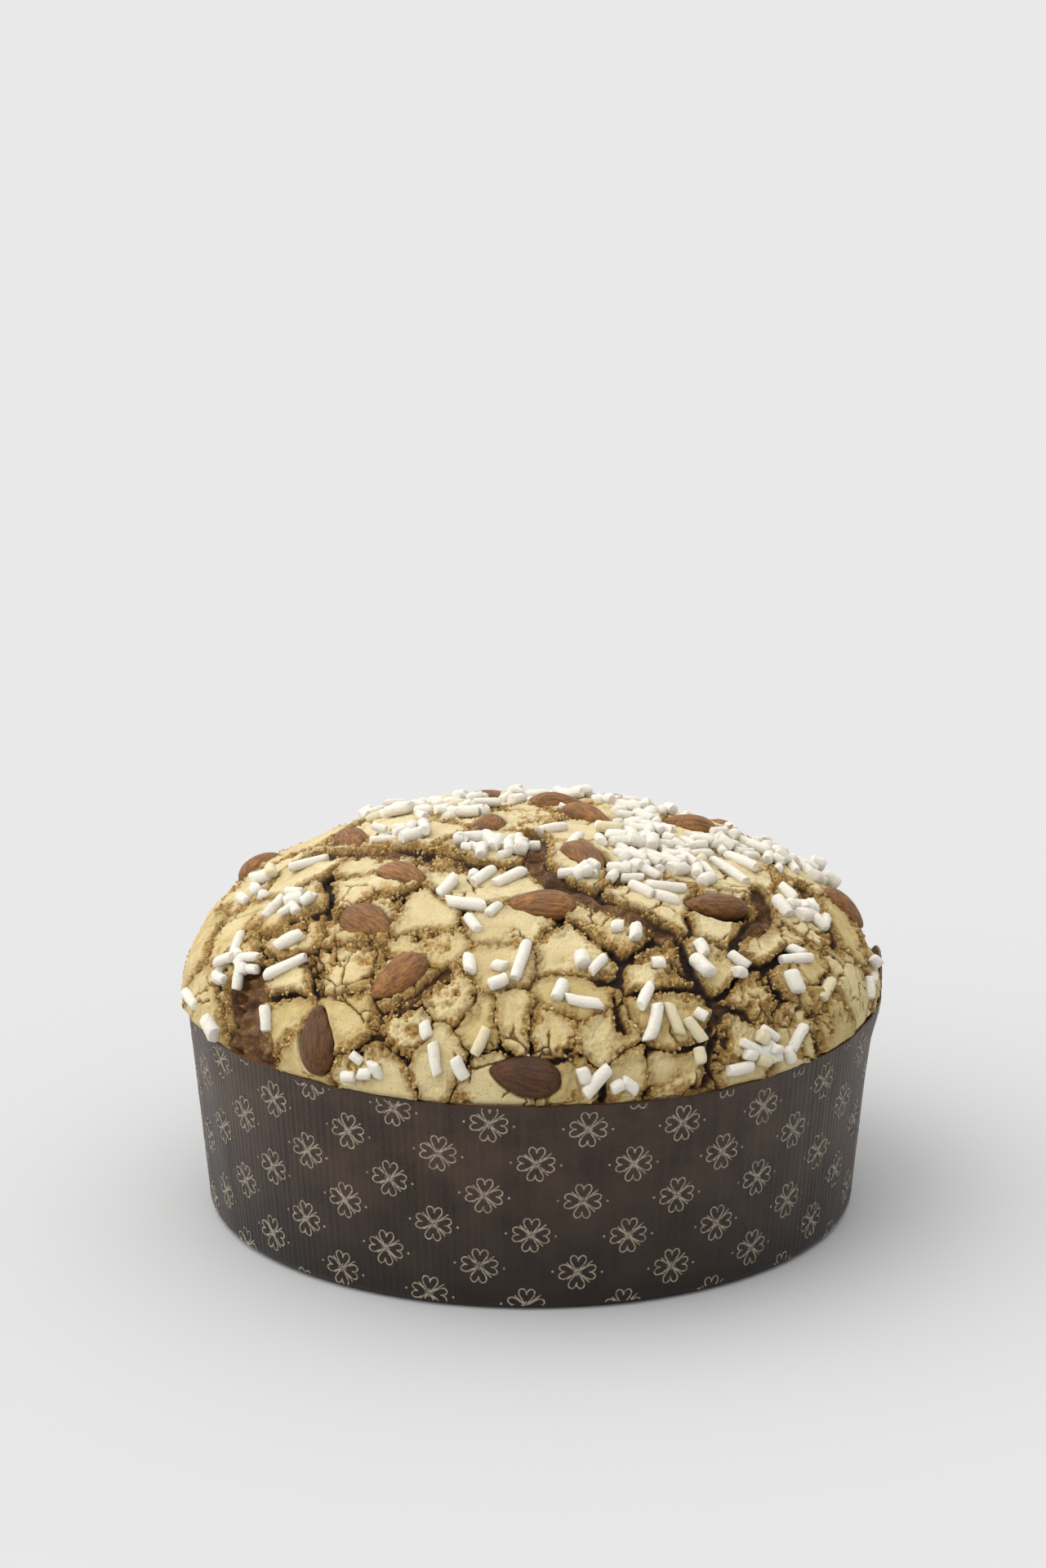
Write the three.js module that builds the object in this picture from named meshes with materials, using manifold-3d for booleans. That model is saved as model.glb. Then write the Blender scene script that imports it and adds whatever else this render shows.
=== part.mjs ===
// A low panettone in its paper mould: a risen dome of dough under a cracked almond icing,
// set with whole almonds and sticks of pearl sugar.
// Millimetres, +Z up, the origin at the centre of the mould's flat base. The front faces -Y.
// Places on the dome are an azimuth round +Z, where -90 is the front, and a tilt away from
// the crown, both in degrees and seen from the middle of the dome's base.

import * as THREE from "three";
import { mergeVertices } from "three/addons/utils/BufferGeometryUtils.js";
import Module from "manifold-3d";

// Driving dimensions of the mould
const baseRadius = 105;
const rimRadius = 111.3;
const mouldHeight = 68;
const paperThickness = 0.9;
const footRounding = 2.5;
const mouldSides = 56;
const rimWave = 0.5;

// The corner of the mould's overlap that stands up beside the dome
const flapAzimuth = 4;
const flapHalfWidth = 9;
const flapHeight = 11;
const flapLean = 4.6;
const leanHalfWidth = 22;

// Driving dimensions of the dome
const domeRadius = 112.6;
const domeRise = 53.4;
const domeBase = 70;
const domeExponent = 2.15;
const crustDepth = 2.8;
const domeSides = 28;
const gap = 0.35;

// Icing plates
const crackWidth = 1.4;
const wideCrackWidth = 4;
const wideCrackReach = 9;
const tearHalfWidth = 4.2;
const plateReach = 23;
const plateSpacing = 27;
const plateRoot = 1.6;
const smallestPlate = 5.5;

// Almonds
const almondLength = 21.8;
const almondWidth = 12.4;
const almondThickness = 8.8;
const almondSink = 0.6;

// Pearl sugar
const sugarRadius = 1.8;
const sugarProud = 0.7;
const shortestFusedStick = 9.4;

// Almonds that the front shows: azimuth, tilt, turn of the point from downhill, share of full length,
// and how far one lies rolled on its side
const frontAlmonds = [
  [-137, 49, 91, 0.95],
  [-130, 63, 80, 1],
  [-115, 72, -34, 0.94],
  [-126, 84, -165, 0.98],
  [175, 51, 110, 0.9],
  [163, 71, -105, 0.95],
  [170, 14, -85, 0.85],
  [-87, 53, -95, 1],
  [-60, 33, -5, 1],
  [-40, 61, -120, 1, 35],
  [23, 50, 170, 0.9],
  [43, 25, -84, 0.9],
  [76, 35, -70, 0.9],
  [1, 76, 20, 0.95],
  [-91, 86, -100, 1],
];

// Almonds round the back, in the same form
const backAlmonds = [
  [26, 84, -37, 1], [46, 70, 60, 0.95], [67, 86, 0, 1.03], [68, 62, -117, 1], [91, 79, 144, 0.95],
  [101, 60, -140, 1.05], [115, 83, 75, 0.98], [125, 66, 20, 1], [140, 80, -174, 0.92],
];

// Middles of the icing plates that the front shows: azimuth, tilt
const frontPlates = [
  [-153, 66], [-143, 71], [-151, 78], [-172, 79], [-136, 77], [-134, 83], [-129, 64],
  [-144, 56], [-151, 50], [-116, 60], [-126, 72], [-114, 73], [-99, 59], [-97, 69],
  [-104, 75], [-105, 83], [-98, 79], [-92, 79], [-97, 87], [-116, 86], [-111, 80],
  [-106, 48], [-120, 28], [-169, 36], [123, 42], [-169, 62], [-177, 69], [-163, 73],
  [-158, 86], [-121, 80], [-112, 66], [-128, 87], [-80, 67], [-70, 63], [-65, 70],
  [-82, 74], [-86, 80], [-78, 81], [-66, 79], [-67, 87], [-83, 87], [-75, 87],
  [-53, 71], [-49, 78], [-38, 70], [-37, 77], [-23, 83], [-54, 85], [-45, 86],
  [-32, 87], [-52, 57], [-42, 64], [-18, 56], [-68, 36], [-45, 38], [-26, 45],
  [-22, 69], [-4, 26], [6, 43], [5, 59], [4, 68], [-10, 76], [-3, 84],
];

// Tears where the icing has pulled apart and the brown crust shows: azimuth, tilt
const tears = [
  [[-178, 58], [-165, 49], [-152, 42], [-135, 38], [-116, 39], [-98, 38], [-88, 36], [-84, 22], [-80, 10]],
  [[-88, 36], [-80, 47], [-71, 53], [-64, 58], [-59, 64]],
  [[-146, 80], [-142, 86]],
  [[-138, 89], [-144, 90]],
  [[-112, 76], [-107, 71]],
  [[-38, 68], [-29, 66], [-21, 62]],
  [[-21, 77], [-10, 70], [-5, 68]],
];

// Cracks that have opened wide: azimuth, tilt
const wideCracks = [
  [[-62, 70], [-59, 75], [-57, 80], [-59, 84], [-62, 90]],
  [[-48, 70], [-45, 76], [-44, 83]],
  [[-75, 71], [-75, 80]],
  [[-134, 73], [-129, 80]],
  [[-155, 72], [-146, 75]],
];

// Sugar sticks that stand alone: azimuth, tilt, length, turn from downhill
const frontSticks = [
  [-108, 55, 13, 87], [-100, 56, 6, 155], [-104, 60, 8, 37], [-102, 69, 7, 14],
  [-96, 69, 4, 75], [-96, 72, 6, 120], [-92, 68, 15, -13], [-107, 80, 5, 20],
  [-105, 84, 10, 14], [-101, 85, 7, 29], [-98, 81, 9, -22], [-139, 75, 14, -37],
  [-143, 71, 10, -38], [-137, 83, 8, 25], [-171, 59, 13, 9], [-176, 67, 8, 148],
  [-151, 88, 7, 60], [-163, 87, 10, 80], [-117, 50, 9, 168], [-108, 44, 10, 160],
  [-98, 44, 11, 132], [-112, 44, 6, 20], [-80, 68, 5, 1], [-77, 69, 8, -45],
  [-70, 62, 4, 81], [-67, 64, 6, -23], [-65, 70, 4, 64], [-85, 73, 7, -22],
  [-81, 75, 11, 74], [-70, 75, 10, -37], [-70, 79, 12, -26], [-66, 79, 10, 10],
  [-63, 81, 9, 31], [-61, 79, 4, 43], [-63, 85, 5, -1], [-82, 86, 5, 20],
  [-80, 87, 11, -44], [-75, 88, 6, 49], [-77, 88, 4, 110], [-55, 69, 6, -12],
  [-57, 72, 8, 6], [-48, 72, 7, 29], [-50, 74, 5, 82], [-35, 75, 12, 70],
  [-33, 74, 5, 20], [-40, 78, 7, -6], [-32, 81, 11, -71], [-49, 84, 7, 50],
  [-52, 86, 14, 56], [-56, 88, 9, 90], [-43, 86, 10, -53], [-46, 88, 5, 20],
  [-24, 67, 8, -30], [-14, 66, 8, -39], [-17, 73, 11, -85], [-55, 52, 9, 15],
  [-47, 53, 13, 61], [-51, 56, 7, 40], [-18, 56, 16, -31], [-9, 57, 13, -36],
  [-31, 55, 7, 92], [-50, 22, 10, 120], [-26, 8, 10, 60],
];

// Drifts of sugar: azimuth, tilt, number of pieces, reach, longest piece
const frontDrifts = [
  [-153, 66, 6, 8, 6], [-152, 78, 9, 9, 10], [-172, 68, 4, 8, 7], [-120, 29, 10, 9, 9],
  [-172, 40, 9, 12, 10], [134, 44, 8, 15, 10], [-48, 38, 24, 15, 8], [-70, 38, 6, 8, 7],
  [-22, 46, 14, 11, 9], [2, 33, 9, 12, 9], [9, 50, 12, 13, 8], [9, 62, 14, 12, 9],
  [10, 71, 8, 9, 8], [-19, 70, 6, 6, 6], [-117, 89, 5, 8, 5], [-51, 87, 5, 6, 5],
  [-97, 24, 5, 7, 9], [-12, 84, 3, 7, 8],
];
const backDrifts = 15;
const backDriftPieces = 8;
const backDriftReach = 14;
const backDriftLongest = 11;

// Colours
const icingColour = 0xc9ad7c;
const almondColour = 0x8a5a38;
const paperColour = 0x3a302c;

const wasm = await Module();
wasm.setup();

// A repeatable random number from 0 to 1
function makeRandom(seed) {
  let state = seed;
  return () => {
    state = (state * 16807) % 2147483647;
    return state / 2147483647;
  };
}

// The dome's surface in a direction, raised by a lift
function domePoint(azimuth, tilt, lift = 0) {
  const a = THREE.MathUtils.degToRad(azimuth);
  const t = THREE.MathUtils.degToRad(tilt);
  const sine = Math.sin(t);
  const cosine = Math.max(Math.cos(t), 0);
  const sum =
    (sine / (domeRadius + lift)) ** domeExponent + (cosine / (domeRise + lift)) ** domeExponent;
  const reach = sum ** (-1 / domeExponent);
  return new THREE.Vector3(
    reach * sine * Math.cos(a),
    reach * sine * Math.sin(a),
    domeBase + reach * Math.cos(t),
  );
}

// A point brought onto the dome along the line from the middle of its base
function ontoDome(point, lift) {
  const tilt = Math.atan2(Math.hypot(point.x, point.y), point.z - domeBase);
  const azimuth = Math.atan2(point.y, point.x);
  return domePoint(THREE.MathUtils.radToDeg(azimuth), THREE.MathUtils.radToDeg(tilt), lift);
}

// The dome's own directions at a place: out of it, downhill, and round it
function domeAxes(place) {
  const up = Math.max(place.z - domeBase, 0);
  const out = Math.hypot(place.x, place.y);
  const steepness = (out / domeRadius) ** (domeExponent - 1) / domeRadius;
  const normal = new THREE.Vector3(
    (place.x / out) * steepness,
    (place.y / out) * steepness,
    (up / domeRise) ** (domeExponent - 1) / domeRise,
  ).normalize();
  const round = new THREE.Vector3(-place.y, place.x, 0).normalize();
  const downhill = round.clone().cross(normal).normalize();
  return { normal, downhill, round };
}

// A frame lying on the dome with its X along the turn and its Z out of the dome
function lyingOn(azimuth, tilt, lift, turn, roll = 0) {
  const place = domePoint(azimuth, tilt, lift);
  const { normal, downhill, round } = domeAxes(place);
  const t = THREE.MathUtils.degToRad(turn);
  const along = downhill.multiplyScalar(Math.cos(t)).addScaledVector(round, Math.sin(t));
  const across = normal.clone().cross(along);
  const rolled = new THREE.Matrix4().makeRotationX(THREE.MathUtils.degToRad(roll));
  return new THREE.Matrix4().makeBasis(along, across, normal).setPosition(place).multiply(rolled);
}

// Points spaced along a line of places on the dome
function alongLine(line, spacing) {
  const corners = line.map(([azimuth, tilt]) => domePoint(azimuth, tilt));
  const points = [];
  for (let i = 0; i + 1 < corners.length; i++) {
    const steps = Math.max(1, Math.round(corners[i].distanceTo(corners[i + 1]) / spacing));
    for (let k = 0; k < steps; k++) {
      points.push(ontoDome(corners[i].clone().lerp(corners[i + 1], k / steps), 0));
    }
  }
  points.push(corners.at(-1));
  return points;
}

const nearest = (point, points) =>
  points.reduce((least, other) => Math.min(least, point.distanceTo(other)), Infinity);

// Places added all over the dome by a rule, each clear of what is there already
function fillPlaces(placed, spacing, tries, lowest, random) {
  const points = placed.map(([azimuth, tilt]) => domePoint(azimuth, tilt));
  const added = [];
  for (let i = 0; i < tries; i++) {
    const azimuth = 360 * random() - 180;
    const tilt = lowest * Math.sqrt(random());
    const point = domePoint(azimuth, tilt);
    if (nearest(point, points) > spacing) {
      points.push(point);
      added.push([azimuth, tilt]);
    }
  }
  return added;
}

function toManifold(geometry) {
  const bare = geometry.clone();
  bare.deleteAttribute("normal");
  bare.deleteAttribute("uv");
  const merged = mergeVertices(bare, 1e-4);
  return new wasm.Manifold(
    new wasm.Mesh({
      numProp: 3,
      vertProperties: new Float32Array(merged.attributes.position.array),
      triVerts: new Uint32Array(merged.index.array),
    }),
  );
}

function toGeometry(solid) {
  const mesh = solid.getMesh();
  const points = new Float32Array(mesh.numVert * 3);
  for (let i = 0; i < mesh.numVert; i++) {
    points.set(mesh.vertProperties.subarray(i * mesh.numProp, i * mesh.numProp + 3), i * 3);
  }
  const geometry = new THREE.BufferGeometry();
  geometry.setAttribute("position", new THREE.BufferAttribute(points, 3));
  geometry.setIndex(new THREE.BufferAttribute(mesh.triVerts, 1));
  geometry.computeVertexNormals();
  return geometry;
}

// A profile of radius and height, turned about +Z
function turned(profile, sides) {
  const points = profile.map(([radius, height]) => new THREE.Vector2(radius, height));
  return new THREE.LatheGeometry(points, sides).rotateX(Math.PI / 2);
}

// The share of the flap's rise or of its lean that the rim has at an azimuth, from 0 to 1
function flapShare(azimuth, halfWidth) {
  const away = Math.abs(azimuth - flapAzimuth) / halfWidth;
  return away < 1 ? Math.cos((away * Math.PI) / 2) : 0;
}

// The paper mould: a flat base, a rounded foot, a flaring wall and a rim with one raised corner
function mouldGeometry() {
  const inner = (height) =>
    baseRadius + ((rimRadius - baseRadius) * height) / mouldHeight - paperThickness;
  const geometry = turned(
    [
      [0, 0],
      [baseRadius - footRounding, 0],
      [baseRadius - 0.2, footRounding],
      [rimRadius, mouldHeight],
      [rimRadius - paperThickness, mouldHeight],
      [inner(footRounding) - 0.3, footRounding],
      [inner(0) - footRounding, paperThickness],
      [0, paperThickness],
    ],
    mouldSides,
  );
  const points = geometry.attributes.position;
  for (let i = 0; i < points.count; i++) {
    if (points.getZ(i) < mouldHeight - 1) continue;
    const azimuth = Math.atan2(points.getY(i), points.getX(i));
    const share = flapShare(THREE.MathUtils.radToDeg(azimuth), flapHalfWidth);
    const lean = flapShare(THREE.MathUtils.radToDeg(azimuth), leanHalfWidth);
    const wave = rimWave * Math.sin(5 * azimuth + 1) * Math.cos(3 * azimuth);
    const spread = 1 + (flapLean * lean) / rimRadius;
    points.setXYZ(
      i,
      points.getX(i) * spread,
      points.getY(i) * spread,
      points.getZ(i) + flapHeight * share + wave * (1 - share),
    );
  }
  return geometry;
}

// The dough in the mould and its crust, without the icing
function loafGeometry() {
  const floor = paperThickness + gap;
  const side = (height) =>
    baseRadius + ((rimRadius - baseRadius) * height) / mouldHeight - paperThickness - gap - 0.3;
  const profile = [
    [0, floor],
    [side(0) - footRounding - 0.6, floor],
    [side(footRounding) - 0.8, footRounding + 1],
    [side(mouldHeight) - 0.5, mouldHeight - 0.5],
  ];
  for (const tilt of [90, 79, 64, 46, 24]) {
    const point = domePoint(0, tilt, -crustDepth);
    profile.push([point.x, point.z]);
  }
  profile.push([0, domeBase + domeRise - crustDepth]);
  return turned(profile, domeSides);
}

// A polygon cut to the side of a line that its middle lies on
function clipped(polygon, normal, offset) {
  const kept = [];
  polygon.forEach((corner, i) => {
    const next = polygon[(i + 1) % polygon.length];
    const here = corner.dot(normal) - offset;
    const there = next.dot(normal) - offset;
    if (here <= 0) kept.push(corner);
    if (here <= 0 !== there <= 0) kept.push(corner.clone().lerp(next, here / (here - there)));
  });
  return kept;
}

// Long sides get a ragged middle point, and corners closer than the grain are merged
function ragged(polygon, random) {
  const grain = 3.6;
  const longSide = 17;
  const roughness = 1.1;
  const apart = polygon.filter((corner, i) => corner.distanceTo(polygon.at(i - 1)) > grain);
  return apart.flatMap((corner, i) => {
    const next = apart[(i + 1) % apart.length];
    if (corner.distanceTo(next) < longSide) return [corner];
    const middle = corner.clone().lerp(next, 0.35 + 0.3 * random());
    return [corner, middle.multiplyScalar(1 - (roughness * random()) / middle.length())];
  });
}

// One plate of icing: the part of the dome nearest its middle, less the cracks and tears round it
function plateGeometry(middle, others, tearPoints, crackPoints, random) {
  const { normal, downhill, round } = domeAxes(middle);
  const flat = (vector) => new THREE.Vector2(vector.dot(downhill), vector.dot(round));
  let polygon = [];
  for (let i = 0; i < 8; i++) {
    const a = (i / 8) * 2 * Math.PI;
    polygon.push(new THREE.Vector2(plateReach * Math.cos(a), plateReach * Math.sin(a)));
  }
  const cut = (point, back) => {
    const away = flat(point.clone().sub(middle));
    polygon = clipped(polygon, away.clone().normalize(), away.length() - back);
  };
  for (const other of others) {
    const halfway = middle.distanceTo(other) / 2;
    if (halfway > plateReach || halfway < 0.01) continue;
    const between = middle.clone().lerp(other, 0.5);
    const opened = nearest(between, crackPoints) < wideCrackReach;
    cut(between, (opened ? wideCrackWidth : crackWidth) / 2);
  }
  for (const tear of tearPoints) {
    if (middle.distanceTo(tear) < plateReach + tearHalfWidth) cut(tear, tearHalfWidth);
  }
  const lowest = (domeBase + 0.4 - middle.z) / downhill.z;
  if (lowest > 0) polygon = clipped(polygon, new THREE.Vector2(1, 0), lowest);
  if (polygon.length < 3) return null;
  polygon = ragged(polygon, random);
  const core = polygon
    .reduce((sum, corner) => sum.add(corner), new THREE.Vector2())
    .divideScalar(polygon.length);
  const inset = Math.min(...polygon.map((corner) => corner.distanceTo(core)));
  if (polygon.length < 3 || inset < smallestPlate) return null;

  // The rise of each plate differs a little, and its rim is lower than its middle
  const rise = 0.9 * random() - 0.5;
  const rim = polygon.length;
  const onDome = (corner, lift) =>
    ontoDome(
      middle.clone().addScaledVector(downhill, corner.x).addScaledVector(round, corner.y),
      lift,
    );
  const points = [
    ...polygon.map((corner) => onDome(corner, rise - 0.5)),
    ...polygon.map((corner) => onDome(corner, -crustDepth - plateRoot)),
    onDome(core, rise),
    onDome(core, -crustDepth - plateRoot),
  ];
  const faces = [];
  for (let i = 0; i < rim; i++) {
    const next = (i + 1) % rim;
    faces.push(i, next, 2 * rim);
    faces.push(rim + next, rim + i, 2 * rim + 1);
    faces.push(i, rim + i, rim + next, i, rim + next, next);
  }
  const geometry = new THREE.BufferGeometry().setFromPoints(points);
  geometry.setIndex(faces);
  if (downhill.clone().cross(round).dot(normal) < 0) geometry.index.array.reverse();
  return geometry;
}

// A whole almond along +X: blunt behind, pointed ahead, flatter than it is wide
function almondGeometry(scale, swell) {
  const geometry = new THREE.SphereGeometry(1, 8, 5).rotateZ(Math.PI / 2);
  const points = geometry.attributes.position;
  for (let i = 0; i < points.count; i++) {
    const x = points.getX(i);
    const narrowing = 1 - 0.28 * x - 0.12 * x * x;
    points.setXYZ(
      i,
      (x * almondLength * scale) / 2 + x * swell,
      points.getY(i) * narrowing * ((almondWidth * scale) / 2 + swell),
      points.getZ(i) * narrowing * (almondThickness / 2 + swell),
    );
  }
  return geometry;
}

function stickGeometry(length) {
  return new THREE.CylinderGeometry(sugarRadius, sugarRadius * 0.94, length, 5).rotateZ(
    Math.PI / 2,
  );
}

const random = makeRandom(20261128);
const almonds = [...frontAlmonds, ...backAlmonds];
const almondPoints = almonds.map(([azimuth, tilt]) => domePoint(azimuth, tilt));

const tearPoints = tears.flatMap((line) => alongLine(line, 6));
const crackPoints = wideCracks.flatMap((line) => alongLine(line, 6));
const plates = [...frontPlates, ...fillPlaces(frontPlates, plateSpacing, 900, 88, random)];
const plateMiddles = plates.map(([azimuth, tilt]) => domePoint(azimuth, tilt));

// Loose pieces of a drift lie where they fall, clear of almonds, of tears and of each other
function drift(azimuth, tilt, count, reach, longest, taken) {
  const middle = domePoint(azimuth, tilt);
  const { downhill, round } = domeAxes(middle);
  const pieces = [];
  for (let i = 0; i < count * 6 && pieces.length < count; i++) {
    const away = reach * Math.sqrt(random());
    const bearing = 2 * Math.PI * random();
    const length = 4 + (longest - 4) * random();
    const turn = 360 * random();
    const point = ontoDome(
      middle
        .clone()
        .addScaledVector(downhill, away * Math.cos(bearing))
        .addScaledVector(round, away * Math.sin(bearing)),
      0,
    );
    const clear =
      nearest(point, almondPoints) > 11 + length / 4 &&
      nearest(point, tearPoints) > tearHalfWidth + 1.5 &&
      nearest(point, taken) > 3.4 &&
      point.z > domeBase + 3;
    if (!clear) continue;
    taken.push(point);
    pieces.push([
      THREE.MathUtils.radToDeg(Math.atan2(point.y, point.x)),
      THREE.MathUtils.radToDeg(Math.atan2(Math.hypot(point.x, point.y), point.z - domeBase)),
      length,
      turn,
    ]);
  }
  return pieces;
}

const taken = frontSticks.map(([azimuth, tilt]) => domePoint(azimuth, tilt));
const sticks = [...frontSticks];
for (const one of frontDrifts) sticks.push(...drift(...one, taken));
for (let i = 0; i < backDrifts; i++) {
  const azimuth = 15 + 130 * random();
  const tilt = 32 + 54 * random();
  sticks.push(
    ...drift(azimuth, tilt, backDriftPieces, backDriftReach, backDriftLongest, taken),
  );
}

// The cake is the loaf with its plates and its larger sticks fused on, and a bed cut for each almond
let cake = toManifold(loafGeometry());
for (const middle of plateMiddles) {
  const geometry = plateGeometry(middle, plateMiddles, tearPoints, crackPoints, random);
  if (geometry) cake = cake.add(toManifold(geometry));
}
for (const [azimuth, tilt, length, turn] of sticks) {
  if (length < shortestFusedStick) continue;
  const place = domePoint(azimuth, tilt);
  if (nearest(place, almondPoints) < 12 + length / 3) continue;
  const lying = lyingOn(azimuth, tilt, sugarProud - 0.5, turn);
  cake = cake.add(toManifold(stickGeometry(length).applyMatrix4(lying)));
}
const almondLift = -almondSink;
for (const [azimuth, tilt, turn, scale, roll] of almonds) {
  const lying = lyingOn(azimuth, tilt, almondLift, turn, roll);
  cake = cake.subtract(toManifold(almondGeometry(scale, gap).applyMatrix4(lying)));
}
const cakeBodies = cake.decompose().sort((a, b) => b.volume() - a.volume());

const panettone = new THREE.Group();

function addPiece(name, geometry, color, roughness) {
  const material = new THREE.MeshStandardMaterial({ color, roughness, metalness: 0 });
  const mesh = new THREE.Mesh(geometry, material);
  mesh.name = name;
  panettone.add(mesh);
  return mesh;
}

addPiece("paper_mould", mouldGeometry(), paperColour, 0.6);
addPiece("cake", toGeometry(cakeBodies[0]), icingColour, 0.9);
almonds.forEach(([azimuth, tilt, turn, scale, roll], i) => {
  const name = "almond_" + String(i + 1).padStart(2, "0");
  const mesh = addPiece(name, almondGeometry(scale, 0), almondColour, 0.7);
  mesh.applyMatrix4(lyingOn(azimuth, tilt, almondLift, turn, roll));
});

export default panettone;
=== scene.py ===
import itertools
import math
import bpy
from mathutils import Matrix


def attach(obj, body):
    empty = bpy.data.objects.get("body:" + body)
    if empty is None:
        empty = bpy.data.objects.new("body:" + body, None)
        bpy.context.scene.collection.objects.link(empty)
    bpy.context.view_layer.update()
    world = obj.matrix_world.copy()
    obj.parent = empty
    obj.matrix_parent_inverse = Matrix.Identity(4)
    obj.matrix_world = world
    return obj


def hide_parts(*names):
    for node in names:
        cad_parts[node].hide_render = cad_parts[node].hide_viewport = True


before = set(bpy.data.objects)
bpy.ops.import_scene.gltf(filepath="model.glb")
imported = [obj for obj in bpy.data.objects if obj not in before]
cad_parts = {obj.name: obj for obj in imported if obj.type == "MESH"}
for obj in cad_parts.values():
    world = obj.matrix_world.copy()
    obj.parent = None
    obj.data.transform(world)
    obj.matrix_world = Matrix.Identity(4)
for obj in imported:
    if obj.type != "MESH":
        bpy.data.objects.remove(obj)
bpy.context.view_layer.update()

from types import SimpleNamespace

import bpy
import numpy as np

# A low panettone in its paper mould: icing that has cracked over the risen dome, whole almonds,
# sticks of pearl sugar. Sizes are millimetres, and become metres as each mesh is written; the
# finishes of icing, crumbs, sugar and ink work in metres. Places on the dome are (azimuth, tilt)
# in degrees: azimuth -90 is the front, tilt 0 the crown.


# camera, at the photograph's angle
view = SimpleNamespace(across=-2.5, back=1264, up=483.5, pitch=15.3, lens=93.75)
bpy.ops.object.camera_add(
    location=(view.across / 1000, -view.back / 1000, view.up / 1000),
    rotation=(math.radians(90 - view.pitch), 0, 0),
)
camera = bpy.context.object
camera.data.lens = view.lens
camera.data.sensor_width = 36
camera.data.clip_end = 40
bpy.context.scene.camera = camera


# small tools

def linear(hexColour):
    # sRGB hex to the linear colour that a shader wants
    parts = [int(hexColour[i:i + 2], 16) / 255 for i in (1, 3, 5)]
    return [p / 12.92 if p < 0.04045 else ((p + 0.055) / 1.055) ** 2.4 for p in parts] + [1]


def leaveEdit():
    bpy.ops.object.mode_set(mode="OBJECT")


def deselectAll():
    bpy.ops.object.select_all(action="DESELECT")


def selectOnly(piece):
    deselectAll()
    piece.select_set(True)
    bpy.context.view_layer.objects.active = piece


def editAll():
    bpy.ops.object.mode_set(mode="EDIT")
    bpy.ops.mesh.select_all(action="SELECT")


def newPiece(name, points, faces):
    mesh = bpy.data.meshes.new(name)
    mesh.from_pydata((points / 1000).tolist(), [], faces)
    mesh.update()
    piece = bpy.data.objects.new(name, mesh)
    bpy.context.scene.collection.objects.link(piece)
    selectOnly(piece)
    return piece


def readPoints(mesh):
    flat = np.empty(len(mesh.vertices) * 3)
    mesh.vertices.foreach_get("co", flat)
    return flat.reshape(-1, 3)


def writePoints(mesh, points):
    mesh.vertices.foreach_set("co", np.asarray(points, dtype=np.float32).ravel())
    mesh.update()


def writeValue(mesh, name, values):
    kind = "FLOAT" if values.ndim == 1 else "FLOAT_VECTOR"
    made = mesh.attributes.new(name, kind, "POINT")
    field = "value" if values.ndim == 1 else "vector"
    made.data.foreach_set(field, np.asarray(values, dtype=np.float32).ravel())


def addNode(tree, kind, inputs=None, **settings):
    made = tree.nodes.new(kind)
    for name, value in settings.items():
        setattr(made, name, value)
    for name, value in (inputs or {}).items():
        if isinstance(value, bpy.types.NodeSocket):
            tree.links.new(value, made.inputs[name])
        else:
            made.inputs[name].default_value = value
    return made


def newFinish(name, **sockets):
    finish = bpy.data.materials.new(name)
    finish.use_nodes = True
    shader = finish.node_tree.nodes["Principled BSDF"]
    for socket, value in sockets.items():
        shader.inputs[socket.replace("_", " ")].default_value = value
    return finish, finish.node_tree, shader


def dress(piece, finish, slot, *nodes):
    piece.data.materials.clear()
    piece.data.materials.append(finish)
    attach(piece, "root")
    if nodes:
        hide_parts(*nodes)


def repeatableDraws(seed):
    state = [seed]

    def draw():
        state[0] = state[0] * 16807 % 2147483647
        return state[0] / 2147483647

    return draw


# A block of random numbers that tiles, for smooth noise and for cells
grain = np.random.default_rng(5).random((64, 64, 64)).astype(np.float32)


def softNoise(points, size, shift=0.0):
    # from -1 to 1, with lumps about as large as size
    where = np.asarray(points) / size + np.array([shift, 1.7 * shift, 0.6 * shift])
    cell = np.floor(where).astype(np.int32)
    share = where - cell
    share = share * share * (3 - 2 * share)
    total = np.zeros(len(where))
    for corner in itertools.product((0, 1), repeat=3):
        weights = np.abs(1 - np.array(corner) - share).T
        x, y, z = ((cell + np.array(corner)) & 63).T
        total += weights[0] * weights[1] * weights[2] * grain[x, y, z]
    return 2 * total - 1


def wanderOf(points, size, reach, shift=0.0):
    # a small push in each direction, for ragged lines
    return reach * np.stack([softNoise(points, size, shift + 5.3 * k) for k in (1, 2, 3)], 1)


def flakeBorders(points, size, shift=0.0):
    # how far each point lies inside its flake, where flakes are about as wide as size
    found = np.empty(len(points))
    for start in range(0, len(points), 60000):
        where = points[start:start + 60000] / size + shift
        cell = np.floor(where).astype(np.int32)
        middles = []
        for step in itertools.product((-1, 0, 1), repeat=3):
            near = cell + np.array(step)
            x, y, z = (near & 63).T
            jitter = np.stack([grain[x, y, z], grain[y, z, x - 17], grain[z, x, y - 31]], 1)
            middles.append(near + jitter - where)
        middles = np.array(middles)
        own = (middles ** 2).sum(2).argmin(0)
        first = middles[own, np.arange(len(where))]
        least = np.full(len(where), 9.0)
        for other in middles:
            between = other - first
            length = np.linalg.norm(between, axis=1)
            halfway = ((other + first) / 2 * between).sum(1) / np.maximum(length, 1e-6)
            least = np.where(length > 1e-4, np.minimum(least, halfway), least)
        found[start:start + 60000] = least * size
    return found


def eased(values, low, high):
    share = np.clip((values - low) / (high - low), 0, 1)
    return share * share * (3 - 2 * share)


# the dome

dome = SimpleNamespace(radius=112.6, rise=53.4, base=70.0, exponent=2.15)
lineStep = 6  # millimetres between the points of a line laid over the dome


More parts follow.
